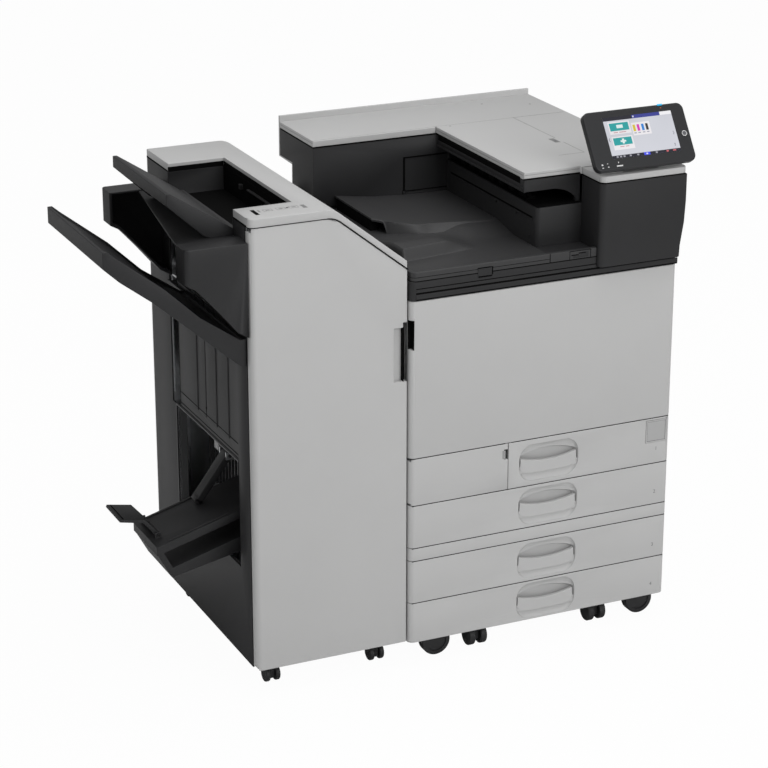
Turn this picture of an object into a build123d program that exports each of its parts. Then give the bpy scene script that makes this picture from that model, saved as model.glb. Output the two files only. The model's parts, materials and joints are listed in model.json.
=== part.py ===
from build123d import *
import os
from math import cos, radians, sin

# Floor-standing A3 colour copier with a booklet finisher docked on its left side.
# Working frame: X right from the machine's left cover, Y back from its front covers, Z up from
# the floor. Every piece is moved by SHIFT when it is written, which puts the origin under the
# middle of the whole object. All lengths in millimetres, angles in degrees.

# ---------------------------------------------------------------- general sizes
SKIN = 3.0              # wall of the plastic covers
SHEET = 2.0             # chassis sheet metal
SEAM = 1.5              # gap between neighbouring doors and covers
CORNER_R = 12.0         # rounded upright front corners
RUN = 0.09              # radial clearance of a turning shaft in its bore
EASE = 0.3              # clearance between pieces that move past each other
PIN_R = 2.5             # hinge pins
SMALL_PIN_R = 2.0       # pins of the doors that turn close to their rounded corner
PIN_L = 9.0             # depth of a hinge pin in its door

# ---------------------------------------------------------------- copier body
BODY_W = 587.0          # across the side covers
BODY_D = 580.0          # front covers to lower rear cover
UPPER_D = 650.0         # front covers to upper rear cover
COVER_BOTTOM = 54.0     # lower edge of the covers
TRAY_H = {4: 87.3, 3: 91.2, 2: 90.8, 1: 99.5}
BAND_H = 27.9           # fixed band between the upper and the lower pair of trays
DOOR_H = 322.8
TRIM_H = 39.2           # dark trim between the front door and the output tray
SIDE_DOOR_W = 215.7     # small cover left of tray 1
FRONT_T = 22.0          # thickness of doors and tray fronts
FRONT_GAP = 3.0         # from the back of the fronts to the chassis
BAY_H = 149.3           # output bay, from the top of the trim to the underside of the top cover
TOP_T = 15.0            # top cover
RIDGE_H = 12.0          # rim that stands up along the back of the top cover
OVERHANG_H = 57.0       # depth of the box that overhangs the lower rear cover
OVERHANG_IN = 6.0       # the dark box's back wall to the upper rear cover's outside

# ---------------------------------------------------------------- tray details
TRAY_D = 540.0          # paper tray box, front to back
TRAY_WALL = 2.5
RAIL_T = 5.0            # ledges that the trays slide on
TRAY_SIDE_GAP = 12.0    # side wall of a tray to the chassis wall
GRIP_W = 133.0
GRIP_H = 77.0
GRIP_R = 30.0
GRIP_X = 241.0          # left end of the grip recess
GRIP_DEPTH = 15.0
GRIP_BAR_Y = 3.0        # front of the grip bar
GRIP_BAR_T = 5.0
GRIP_BAR_LOW = 22.0     # lower edge of the bar below the middle of the recess
GRIP_BAR_END = 11.0     # its upper edge above the middle, at both ends
GRIP_BAR_SAG = 10.0     # and how far that edge dips between them
GRIP_SLIT = 4.0         # slit between each end of the bar and the recess, open at the top
GRIP_SLIT_DOWN = 8.0    # lower end of the slits below the middle
LABEL_SIZE = 48.0       # square plate on tray 1

# ---------------------------------------------------------------- output bay
BAY_BACK = 467.0        # back wall of the output bay
BAY_RIGHT = BODY_W - 283.5  # left face of the exit unit
BAY_PANEL_X = 207.0     # left edge of the shallow field in the back wall
BAY_PANEL_UP = 30.0     # its lower edge above the top of the trim
BAY_PANEL_DOWN = 42.0   # its upper edge below the top cover
ARM_LEFT = BODY_W - 308.0   # left edge of the top cover's arm
ARM_FRONT = 75.0
ARM_LIP = 26.0          # strip under the arm's edges
EXIT_FRONT = 66.5
EXIT_H = 114.5          # exit unit, from the deck up
FASCIA_H = 69.0         # front of the arm at its right end
ARCH_W = 62.0
ARCH_H = 46.0
EXIT_R = 10.0
DECK_Z_DROP = 25.0      # top deck of the chassis below the top of the trim
TRAY_FLOOR_T = 8.0
TRAY_FLOOR_H = 12.0     # output tray floor above the top of the trim
LIP_H = 18.0            # front lip of the output tray
LIP_T = 14.0
LIP_R = 12.0
RAMP_X = 50.0           # left edge of the raised rear plate
RAMP_H = 45.0           # its height above the top of the trim
RAMP_FRONT = 255.0
BUMP_X = 32.0
BUMP_FRONT = 155.0
BUMP_H = 29.0

# ---------------------------------------------------------------- control housing and panel
CH_LEFT = BODY_W - 185.0
CH_FRONT = -13.0
CH_BACK = 66.5
CH_OVER = 6.5           # upper part stands proud of the right side cover
CH_TAPER_H = 54.0       # upright part at the top
CH_WAIST = 4.6          # lower part is narrower than the side cover
CH_SILL = 20.5          # lower edge of the housing below the top of the trim
PANEL_BASE_T = 14.0
PANEL_W = 224.0
PANEL_H = 122.0
PANEL_T = 14.0
PANEL_TILT = 56.0       # from the horizontal
PANEL_R = 14.0
PANEL_X = BODY_W - 200.0    # left edge
PANEL_HINGE_Y = 12.0
PANEL_HINGE_Z = 8.5     # above the panel base
PANEL_HINGE_R = 7.0
PANEL_STANDOFF = 14.5   # hinge axis to the back of the panel
PANEL_BELOW = 14.0      # panel edge below the hinge, along the panel
HINGE_W = 80.0
HINGE_X = BODY_W - 129.0
HINGE_BLOCK_W = 45.0
SCREEN_W = 153.0
SCREEN_H = 84.0
SCREEN_T = 1.2
SCREEN_X = 41.0         # from the panel's left edge
SCREEN_Z = 23.0         # from the panel's lower edge
BUTTON_R = 5.6
BUTTON_X = 13.0         # from the panel's right edge
BUTTON_PROUD = 0.8
BUTTON_T = 4.0
BUTTON_TRAVEL = 0.8

# ---------------------------------------------------------------- print engine
PLATE_FRONT = 60.0      # front side plate of the engine
PLATE_BACK = 440.0      # rear side plate
PLATE_RIGHT = BODY_W - 27.0
BOTTLE_R = 42.0
BOTTLE_PITCH = 100.0
BOTTLE_X = 78.0
BOTTLE_DOWN = 61.5      # bottle axis below the bottom of the trim
BOTTLE_FRONT = 34.0
BOTTLE_STUB_R = 8.0
DRUM_R = 20.0
DRUM_UP = 124.3         # drum axis above the lower edge of the front door
DRUM_PITCH = 100.0
DRUM_X = 105.0
BELT_T = 1.5
BELT_ROLLER_R = 22.0
BELT_LIFT = 0.6         # gap between the belt and the drums
WRITER_H = 70.0
WRITER_UP = 14.3        # underside of the writing unit above the same edge
FUSER_R = 18.0
FUSER_X = PLATE_RIGHT - 76.0
FUSER_DOWN = 73.5       # fuser axis below the bottom of the trim
FUSER_NIP = 0.4
SHAFT_R = 5.0

# ---------------------------------------------------------------- right side
SIDE_DOOR_FRONT = 120.0
SIDE_PIER = 60.0        # from the doors in the right side to the body's back
SIDE_DOOR_BACK = BODY_D - SIDE_PIER
SIDE_DOOR_UP = 7.3      # above the lower edge of the front door
SIDE_DOOR_DOWN = 5.5    # below the bottom of the trim
SIDE_DOOR_T = 22.0
SIDE_GRIP_DOWN = 38.0   # grip recess below the top of the right door
SIDE_GRIP_H = 90.0
BYPASS_T = 10.0
BYPASS_W = 300.0
BYPASS_H = 170.0
BYPASS_UP = 14.0        # above the lower edge of the right door

# ---------------------------------------------------------------- casters
WHEEL_R = 31.0          # main casters
WHEEL_T = 22.0
TRAIL = 14.0
AXLE_R = 4.0
CASTER_Y = 45.0
CASTER_X = (63.0, BODY_W - 52.0)
STEM_R = 6.0
FORK_TOP = 66.7         # top of a swivel plate
BASE_Z = 67.0
BASE_T = 4.0
REAR_CASTER_Y = 520.0
REAR_CASTER_X = (77.0, BODY_W - 77.0)
TWIN_R = 21.0           # small twin-wheel casters
TWIN_W = 40.0
TWIN_WHEEL_T = 14.0
TWIN_X = (171.0, BODY_W - 139.5)
TWIN_Y = 50.0

# ---------------------------------------------------------------- finisher
F_GAP = 3.0             # between the finisher and the copier
DOCK_R = 6.0            # pins that dock the finisher to the copier
DOCK_Y = 300.0
DOCK_Z = (110.0, 600.0)
F_W = 320.0
F_FRONT = 8.0
F_BACK = 563.0
F_BOTTOM = 57.0
F_TOP = 974.0
F_TOP_T = 17.0
F_DOOR_T = 22.0
F_SLANT_X = 150.5       # width of the slanted right part of the top
F_SLANT_Z = 854.0       # lower right end of the slant
F_BEND_R = 45.0
F_SHEET = 3.0
CUT_X = 118.0           # cut-out in the top cover, measured from the left side
CUT_Y0 = 88.0
CUT_Y1 = 438.0
WELL_Z = 905.0          # floor of the well below the cut-out
PROOF_X = -454.0        # outer edge of the upper tray
PROOF_Y0 = 84.0
PROOF_Y1 = 384.0
SHIFT_X = -597.0        # outer edge of the shift tray
SHIFT_Y0 = 30.0
SHIFT_Y1 = 357.0
SHIFT_TRAVEL = 235.0
WING_X = -447.0
WING_T = 50.0
WING_Y0 = 12.0
WING_Y1 = 436.0
WING_TOP = 929.0
WING_LINE = ((0.0, 67.0), (20.0, 78.0), (43.0, 103.0), (67.0, 130.0), (101.0, 171.0), (119.0, 182.0))
                        # under edge of a wing, in from its outer end and down from its top
OPEN_Y0 = 85.0          # booklet opening in the left cover
OPEN_Y1 = 430.0
OPEN_Z0 = 250.0
OPEN_Z1 = 472.0
LEFT_TOP = 742.0        # top of the left cover below the paper exit
GROOVE_Y = (134.0, 199.0, 255.0, 304.0)     # upright grooves in the left cover
GROOVE_UP = 31.0        # their lower ends above the booklet opening
F_GRIP_Z0 = 612.0       # grip recess in the finisher's front door
F_GRIP_Z1 = 732.0
SLOT_Y0 = 406.0
SLOT_Y1 = 450.0
BOOK_Y0 = 120.0
BOOK_Y1 = 258.0
BOOK_X = -482.0
BOOK_Z = 305.0
FLAP_Y0 = 160.0
FLAP_Y1 = 245.0
ARM_Y0 = 205.0
ARM_Y1 = 233.0
ROLLER_R = 9.0
STAPLER_Y = 150.0
STAPLER_L = 90.0
F_CASTER_X = (-270.5, -44.5)
F_CASTER_Y = 81.0
F_REAR_CASTER_Y = 505.0
F_TWIN_R = 16.0
F_TWIN_W = 31.0
F_TWIN_WHEEL_T = 10.0
F_TRAIL = 11.0
F_FORK_DROP = 0.3

# ---------------------------------------------------------------- rear fittings
SCREW_R = 2.0
SCREW_HEAD_R = 4.0
SCREW_HEAD_T = 1.8
INLET_X = 90.0
INLET_W = 28.0
INLET_H = 22.0
INLET_D = 20.0

# ---------------------------------------------------------------- derived levels
Z_TRAY = {4: COVER_BOTTOM}
Z_TRAY[3] = Z_TRAY[4] + TRAY_H[4]
Z_BAND = Z_TRAY[3] + TRAY_H[3]
Z_TRAY[2] = Z_BAND + BAND_H
Z_TRAY[1] = Z_TRAY[2] + TRAY_H[2]
INLET_Z = Z_BAND + BAND_H / 2
Z_DOOR = Z_TRAY[1] + TRAY_H[1]
Z_TRIM = Z_DOOR + DOOR_H
Z_BAY = Z_TRIM + TRIM_H
Z_COVER = Z_BAY + BAY_H
Z_TOP = Z_COVER + TOP_T
Z_DECK = Z_BAY - DECK_Z_DROP
Z_OVERHANG = Z_COVER - OVERHANG_H
Z_PANEL = Z_COVER + PANEL_BASE_T
BOTTLE_Z = Z_TRIM - BOTTLE_DOWN
FUSER_Z = Z_TRIM - FUSER_DOWN
DRUM_Z = Z_DOOR + DRUM_UP
WRITER_Z = Z_DOOR + WRITER_UP
SIDE_DOOR_Z0 = Z_DOOR + SIDE_DOOR_UP
SIDE_DOOR_Z1 = Z_TRIM - SIDE_DOOR_DOWN
BYPASS_Z = SIDE_DOOR_Z0 + BYPASS_UP
FRAME_Y = FRONT_T + FRONT_GAP
FRAME_BACK = BODY_D - SKIN
IN_L = SKIN + SHEET
IN_R = BODY_W - SKIN - SHEET
F_RIGHT = -F_GAP
F_LEFT = F_RIGHT - F_W
F_FRAME_Y = F_FRONT + F_DOOR_T + 0.5
F_BASE = F_BOTTOM + F_SHEET
F_SEAM_Z = F_TOP - F_TOP_T
SLOT_Z0 = LEFT_TOP - SHIFT_TRAVEL - 35.0

# ---------------------------------------------------------------- overall box and origin
PANEL_HINGE = Vector(0, PANEL_HINGE_Y, Z_PANEL + PANEL_HINGE_Z)
PANEL_FACE = PANEL_STANDOFF + PANEL_T
PANEL_FRONT_Y = (PANEL_HINGE_Y - PANEL_FACE * sin(radians(PANEL_TILT))
                 - PANEL_BELOW * cos(radians(PANEL_TILT)))
X_MIN = SHIFT_X
X_MAX = PANEL_X + PANEL_W
Y_MIN = PANEL_FRONT_Y
Y_MAX = UPPER_D
SHIFT = Location((-(X_MIN + X_MAX) / 2, -(Y_MIN + Y_MAX) / 2, 0))


def block(x0, x1, y0, y1, z0, z1):
    """Box between two corners."""
    return Pos((x0 + x1) / 2, (y0 + y1) / 2, (z0 + z1) / 2) * Box(x1 - x0, y1 - y0, z1 - z0)


def rod_x(radius, x0, x1, y, z):
    """Cylinder along X."""
    return Pos((x0 + x1) / 2, y, z) * Rot(0, 90, 0) * Cylinder(radius, x1 - x0)


def rod_y(radius, x, y0, y1, z):
    """Cylinder along Y."""
    return Pos(x, (y0 + y1) / 2, z) * Rot(90, 0, 0) * Cylinder(radius, y1 - y0)


def rod_z(radius, x, y, z0, z1):
    """Cylinder along Z."""
    return Pos(x, y, (z0 + z1) / 2) * Cylinder(radius, z1 - z0)


def prism_y(points, y0, y1):
    """Outline in the XZ plane carried from y0 to y1."""
    face = make_face(Polyline(*points, close=True))
    return Pos(0, y0, 0) * extrude(Plane.XZ * face, -(y1 - y0))


def prism_z(points, z0, z1):
    """Outline in the XY plane carried from z0 to z1."""
    face = make_face(Polyline(*points, close=True))
    return Pos(0, 0, z0) * extrude(face, z1 - z0)


def round_uprights(shape, radius, y_limit, x_side=None):
    """Rounds the upright edges that lie in front of y_limit, on one side or on both."""
    edges = shape.edges().filter_by(Axis.Z).filter_by(lambda e: e.center().Y < y_limit)
    if x_side == "left":
        edges = edges.sort_by(Axis.X)[:1]
    if x_side == "right":
        edges = edges.sort_by(Axis.X)[-1:]
    return fillet(edges, radius)


def sheets(shape, *regions):
    """Parts a frame into the sheets and bars it is put together from, one region after another."""
    parts = []
    for region in regions:
        parts += (shape & region).solids()
        shape = shape - region
    return parts + list(shape.solids())


def share_round(wall, hole):
    """Boxes that share out an upright wall round a hole: below and above it, and to each side."""
    w, h = wall.bounding_box(), hole.bounding_box()
    spans = [(w.min.Z, h.min.Z), (h.max.Z, w.max.Z)]
    boxes = [block(w.min.X, w.max.X, w.min.Y, w.max.Y, *span) for span in spans]
    if w.size.X < w.size.Y:
        sides = [(w.min.X, w.max.X, w.min.Y, h.min.Y), (w.min.X, w.max.X, h.max.Y, w.max.Y)]
    else:
        sides = [(w.min.X, h.min.X, w.min.Y, w.max.Y), (h.max.X, w.max.X, w.min.Y, w.max.Y)]
    return boxes + [block(*side, h.min.Z, h.max.Z) for side in sides]


def save(name, *shapes):
    """Writes one node, moved into the object's own frame."""
    solids = [s for shape in shapes for s in shape.solids()]
    moved = [SHIFT * s for s in solids]
    export_step(moved[0] if len(moved) == 1 else Compound(moved), f"parts/{name}.step")


# ================================================================ copier: frame and covers
def tray_span(n):
    """Lower and upper edge of a tray front, with half a seam left free at each."""
    return Z_TRAY[n] + SEAM / 2, Z_TRAY[n] + TRAY_H[n] - SEAM / 2


def tray_left(n):
    return SIDE_DOOR_W + SEAM / 2 if n == 1 else 0.0


def tray_box_x(n):
    """Left and right side of the tray box."""
    left = SIDE_DOOR_W + SHEET + TRAY_SIDE_GAP if n == 1 else IN_L + TRAY_SIDE_GAP
    return left, IN_R - TRAY_SIDE_GAP


def tray_box_z(n):
    lo, hi = tray_span(n)
    bottom = max(lo + 8, BASE_Z + BASE_T + RAIL_T + EASE)
    return bottom, hi - 6


HINGE_IN = 5.0                       # hinge axis to the side of a door
DOOR_HINGE_Y = FRONT_T - 4.0         # hinge axis from the front
DOOR_PIVOT = (BODY_W - HINGE_IN, DOOR_HINGE_Y)
CORNER_IN = (5.5, 6.5)               # hinge axis inside a rounded front corner
WASTE_PIVOT = CORNER_IN
TAB = 3.0                            # hinge tabs
SIDE_PIVOT = (BODY_W - HINGE_IN, SIDE_DOOR_BACK - HINGE_IN)


def hinge_tab(x0, x1, y0, y1, z, pivot, up, radius=PIN_R):
    """Tab on the frame with the pin that a door turns on, pointing up or down."""
    tab = block(x0, x1, y0, y1, z, z + TAB)
    if up:
        return tab + rod_z(radius, *pivot, z + TAB - EASE, z + TAB + PIN_L)
    return tab + rod_z(radius, *pivot, z - PIN_L, z + EASE)


def bore_z(pivot, z0, z1, radius=PIN_R):
    """Cutter for a hinge pin's bore."""
    return rod_z(radius + RUN, *pivot, z0, z1)


def engine_plate(y):
    """Sheet-metal side plate of the engine with the holes for shafts and bottles."""
    plate = block(IN_L, PLATE_RIGHT, y, y + SHEET, Z_DOOR, Z_DECK)
    front = y == PLATE_FRONT
    for i in range(4):
        hole = BOTTLE_R if front else BOTTLE_STUB_R
        plate -= rod_y(hole + RUN, BOTTLE_X + i * BOTTLE_PITCH, y - 1, y + SHEET + 1, BOTTLE_Z)
        plate -= rod_y(SHAFT_R + RUN, DRUM_X + i * DRUM_PITCH, y - 1, y + SHEET + 1, DRUM_Z)
    for x, z in roller_centres():
        plate -= rod_y(SHAFT_R + RUN, x, y - 1, y + SHEET + 1, z)
    return plate


def belt_z():
    return DRUM_Z + DRUM_R + BELT_LIFT + BELT_T + EASE + BELT_ROLLER_R


def belt_x():
    return DRUM_X - 35, DRUM_X + 3 * DRUM_PITCH + 35


def roller_centres():
    """Shafts of the belt's two rollers and of the two fuser rollers."""
    x0, x1 = belt_x()
    pitch = 2 * FUSER_R + FUSER_NIP
    return [(x0, belt_z()), (x1, belt_z()), (FUSER_X, FUSER_Z), (FUSER_X + pitch, FUSER_Z)]


def side_opening():
    """Cutter for the opening that the right door closes, wider where the door turns."""
    return block(IN_R - 1, BODY_W + 1, SIDE_DOOR_FRONT - SEAM, SIDE_DOOR_BACK + 2 * SEAM,
                 SIDE_DOOR_Z0 - SEAM, SIDE_DOOR_Z1 + SEAM)


def dock_rods(radius):
    """Rods on the finisher's right side that reach through the copier's left side."""
    return [rod_x(radius, F_RIGHT - 2 * F_SHEET, IN_L + 3, DOCK_Y, z) for z in DOCK_Z]


def chassis():
    base = block(SKIN, BODY_W - SKIN, FRAME_Y, FRAME_BACK, BASE_Z, BASE_Z + BASE_T)
    for x in CASTER_X:
        base -= rod_z(STEM_R + RUN, x, CASTER_Y, BASE_Z - 1, BASE_Z + BASE_T + 1)
    z0 = BASE_Z
    left = block(SKIN, IN_L, FRAME_Y, FRAME_BACK, z0, Z_DECK)
    right = block(IN_R, BODY_W - SKIN, FRAME_Y, FRAME_BACK, z0, Z_DECK)
    right -= side_opening()
    back = block(SKIN, BODY_W - SKIN, FRAME_BACK - SHEET, FRAME_BACK, z0, Z_DECK)
    shelf = block(SKIN, BODY_W - SKIN, FRAME_Y, FRAME_BACK, Z_DOOR - 0.7, Z_DOOR + 1.3)
    deck = block(SKIN, BODY_W - SKIN, FRAME_Y, FRAME_BACK, Z_DECK, Z_DECK + SHEET)
    beam = block(SKIN, BODY_W - SKIN, FRAME_Y, FRAME_Y + 15, Z_BAND + 4, Z_TRAY[2] - 4)
    wall = block(SIDE_DOOR_W, SIDE_DOOR_W + SHEET, FRAME_Y, FRAME_BACK, Z_TRAY[1], Z_DOOR)
    floor = block(IN_L, SIDE_DOOR_W, FRAME_Y, FRAME_BACK, Z_TRAY[1] + 1, Z_TRAY[1] + 3)
    frame = base + left + right + back + shelf + deck + beam + wall + floor
    for n in TRAY_H:
        x0, x1 = tray_box_x(n)
        z = tray_box_z(n)[0] - EASE
        for a, b in ((x0 - TRAY_SIDE_GAP, x0 + 4), (x1 - 4, x1 + TRAY_SIDE_GAP)):
            frame += block(a, b, FRAME_Y, FRAME_BACK, z - RAIL_T, z)
    frame += engine_plate(PLATE_FRONT) + engine_plate(PLATE_BACK)
    frame += hinge_tab(DOOR_PIVOT[0] - 6, DOOR_PIVOT[0] + 3, FRONT_T - 8, FRAME_Y, Z_DOOR - 0.2,
                       DOOR_PIVOT, True)
    for z, up in ((Z_TRAY[1] + 1, True), (Z_DOOR - 5, False)):
        frame += hinge_tab(WASTE_PIVOT[0] - 1.5, WASTE_PIVOT[0] + 6, WASTE_PIVOT[1] - 2, FRAME_Y + 10, z,
                           WASTE_PIVOT, up, SMALL_PIN_R)
    for z, up in ((SIDE_DOOR_Z0 - TAB - EASE, True), (SIDE_DOOR_Z1 + EASE, False)):
        frame += hinge_tab(IN_R - 6, BODY_W - SKIN, SIDE_PIVOT[1] - 8, SIDE_DOOR_BACK + 2 * SEAM + 3, z,
                           SIDE_PIVOT, up)
    for rod in dock_rods(DOCK_R + RUN):
        frame -= rod
    for x, z in screw_places():
        frame -= rod_y(SCREW_R + RUN, x, FRAME_BACK - SHEET - 1, BODY_D, z)
    frame -= inlet_hole()
    back_y = FRAME_BACK - SHEET
    rear_y = PLATE_BACK + SHEET
    return sheets(
        frame,
        *share_round(block(0, BODY_W, back_y, BODY_D, 0, Z_BAY), inlet_hole()),
        block(0, IN_L, FRAME_Y, back_y, 0, Z_BAY),
        *share_round(block(IN_R - 7, BODY_W, FRAME_Y, back_y, 0, Z_BAY), side_opening()),
        block(IN_L, IN_R, FRAME_Y, back_y, BASE_Z, BASE_Z + BASE_T),
        block(IN_L, IN_R, FRAME_Y, back_y, Z_DECK, Z_BAY),
        block(IN_L, IN_R, FRAME_Y, back_y, Z_DOOR - 0.7, Z_DOOR + 1.3),
        block(IN_L, IN_R, PLATE_FRONT, PLATE_FRONT + SHEET, Z_DOOR, Z_DECK),
        block(IN_L, IN_R, PLATE_BACK, rear_y, Z_DOOR, Z_DECK),
        block(SIDE_DOOR_W, SIDE_DOOR_W + SHEET, FRAME_Y, back_y, Z_TRAY[1], Z_DOOR))


def screw_places():
    return [(x, z) for x in (30.0, BODY_W / 2, BODY_W - 30.0) for z in (90.0, 340.0, 610.0, 880.0)
            if z < Z_DECK]


def inlet_hole():
    return block(INLET_X - INLET_W / 2, INLET_X + INLET_W / 2, FRAME_BACK - 10, BODY_D + 1,
                 INLET_Z - INLET_H / 2, INLET_Z + INLET_H / 2)


def side_covers():
    left = block(0, SKIN, FRAME_Y, FRAME_BACK, COVER_BOTTOM, Z_DECK + SHEET)
    right = block(BODY_W - SKIN, BODY_W, FRAME_Y, FRAME_BACK, COVER_BOTTOM, Z_DECK + SHEET)
    for rod in dock_rods(DOCK_R + RUN):
        left -= rod
    return left, *sheets(right - side_opening(), *share_round(right, side_opening()))


def rear_cover():
    """Lower panel, and the upper panel with the floor of the overhang."""
    panel = block(0, BODY_W, FRAME_BACK, BODY_D, COVER_BOTTOM, Z_OVERHANG - SKIN)
    lower = panel - inlet_hole()
    upper = block(0, BODY_W, UPPER_D - OVERHANG_IN, UPPER_D, Z_OVERHANG - SKIN, Z_TOP + RIDGE_H)
    shelf = block(0, BODY_W, FRAME_BACK, UPPER_D, Z_OVERHANG - SKIN, Z_OVERHANG)
    for x, z in screw_places():
        lower -= rod_y(SCREW_R + RUN, x, FRAME_BACK - 1, BODY_D + 1, z)
    return *sheets(lower, *share_round(panel, inlet_hole())), upper + shelf


def fasteners():
    screws = []
    for x, z in screw_places():
        screw = rod_y(SCREW_R, x, FRAME_BACK - SHEET - 3, BODY_D + 0.01, z)
        screws.append(screw + rod_y(SCREW_HEAD_R, x, BODY_D, BODY_D + SCREW_HEAD_T, z))
    return screws


def power_inlet():
    body = block(INLET_X - INLET_W / 2 + EASE, INLET_X + INLET_W / 2 - EASE, BODY_D - INLET_D, BODY_D,
                 INLET_Z - INLET_H / 2 + EASE, INLET_Z + INLET_H / 2 - EASE)
    flange = block(INLET_X - INLET_W / 2 - 6, INLET_X + INLET_W / 2 + 6, BODY_D, BODY_D + 2,
                   INLET_Z - INLET_H / 2 - 3, INLET_Z + INLET_H / 2 + 3)
    socket = block(INLET_X - INLET_W / 2 + 3, INLET_X + INLET_W / 2 - 3, BODY_D - INLET_D + 3, BODY_D + 3,
                   INLET_Z - INLET_H / 2 + 3, INLET_Z + INLET_H / 2 - 3)
    inlet = body + flange - socket
    for x in (-7.0, 0.0, 7.0):
        inlet += block(INLET_X + x - 1, INLET_X + x + 1, BODY_D - INLET_D + 2.9, BODY_D - 3,
                       INLET_Z - 2, INLET_Z + 2)
    return inlet


def front_band():
    band = block(0, BODY_W, 0, FRAME_Y, Z_BAND + SEAM / 2, Z_TRAY[2] - SEAM / 2)
    return round_uprights(band, CORNER_R, 1.0)


def bay_frame():
    """Dark trim above the front door and the inner cover behind it, in one moulding."""
    strip = block(0, CH_LEFT, 0, FRAME_Y, Z_TRIM + SEAM / 2, Z_BAY)
    strip = round_uprights(strip, CORNER_R, 1.0, "left")
    right = block(CH_LEFT, BODY_W, 0, FRAME_Y, Z_TRIM + SEAM / 2, Z_BAY - CH_SILL - SEAM)
    right = round_uprights(right, CORNER_R, 1.0, "right")
    inner = block(IN_L + EASE, IN_R - EASE, FRAME_Y, FRAME_Y + 4, Z_DOOR + 2, Z_DECK - EASE)
    frame = strip + right + inner
    for i in range(4):
        frame -= rod_y(BOTTLE_R + 3, BOTTLE_X + i * BOTTLE_PITCH, FRAME_Y - 1, FRAME_Y + 5, BOTTLE_Z)
    frame += rod_z(PIN_R, *DOOR_PIVOT, Z_TRIM + SEAM / 2 - PIN_L, Z_TRIM + SEAM / 2 + 1)
    return frame


def bay_housing():
    """Dark upper housing: rear box, back wall of the output bay and the right side wall."""
    right = BODY_W
    shell = block(0, right, BAY_BACK, UPPER_D - OVERHANG_IN, Z_DECK + SHEET, Z_COVER)
    shell -= block(SKIN, right - SKIN, BAY_BACK + SKIN, UPPER_D - OVERHANG_IN - SKIN, Z_DECK, Z_COVER - SKIN)
    shell -= block(-1, right + 1, FRAME_BACK, UPPER_D, Z_DECK, Z_OVERHANG)
    shell += block(0, right, FRAME_BACK - SKIN, UPPER_D - OVERHANG_IN, Z_OVERHANG, Z_OVERHANG + SKIN)
    shell += block(0, right, FRAME_BACK - SKIN, FRAME_BACK, Z_DECK + SHEET, Z_OVERHANG + SKIN)
    side = block(right - SKIN, right, CH_BACK, BAY_BACK + 1, Z_DECK + SHEET, Z_COVER)
    housing = shell + side
    recess = block(BAY_PANEL_X, BAY_RIGHT + 3, BAY_BACK - 1, BAY_BACK + 1, Z_BAY + BAY_PANEL_UP,
                   Z_COVER - BAY_PANEL_DOWN)
    return housing - recess


# ================================================================ copier: output bay
def output_tray():
    z0 = Z_DECK + SHEET
    floor_top = Z_BAY + TRAY_FLOOR_H
    slab = block(SKIN, BAY_RIGHT, FRAME_Y, BAY_BACK, z0, floor_top)
    slab -= block(SKIN + 4, BAY_RIGHT - 4, FRAME_Y + 4, BAY_BACK - 4, z0 - 1, floor_top - TRAY_FLOOR_T)
    front = block(SKIN, CH_LEFT - EASE, 0, EXIT_FRONT - EASE, Z_BAY, floor_top)
    front += block(SKIN, CH_LEFT - EASE, FRAME_Y, EXIT_FRONT - EASE, z0, Z_BAY)
    front += block(SKIN, CH_LEFT - EASE, 0, LIP_T, Z_BAY, Z_BAY + LIP_H)
    front = front - block(SKIN + 4, CH_LEFT - 4, FRAME_Y + 4, EXIT_FRONT + 1, z0 - 1, floor_top - TRAY_FLOOR_T)
    tray = round_uprights(slab + front, LIP_R, 1.0, "left")
    top = Z_BAY + RAMP_H
    ramp_line = [(RAMP_X, top), (RAMP_X + 55, top - 9), (RAMP_X + 150, top - 20), (BAY_RIGHT, top - 29)]
    under = [(x, z - 5) for x, z in reversed(ramp_line)]
    plate = prism_y(ramp_line + under, RAMP_FRONT, BAY_BACK)
    front_wall = [(RAMP_X, floor_top - 1), *ramp_line, (BAY_RIGHT, floor_top - 1)]
    plate += prism_y(front_wall, RAMP_FRONT, RAMP_FRONT + 4)
    plate += block(BAY_RIGHT - 5, BAY_RIGHT, RAMP_FRONT, BAY_BACK, floor_top - 1, top - 30)
    bump_top = Z_BAY + BUMP_H
    bump = prism_y([(BUMP_X, floor_top - 1), (BUMP_X, bump_top), (BUMP_X + 128, bump_top - 4),
                    (BUMP_X + 183, floor_top - 1)], BUMP_FRONT, RAMP_FRONT + 0.5)
    return tray + plate + bump


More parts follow.
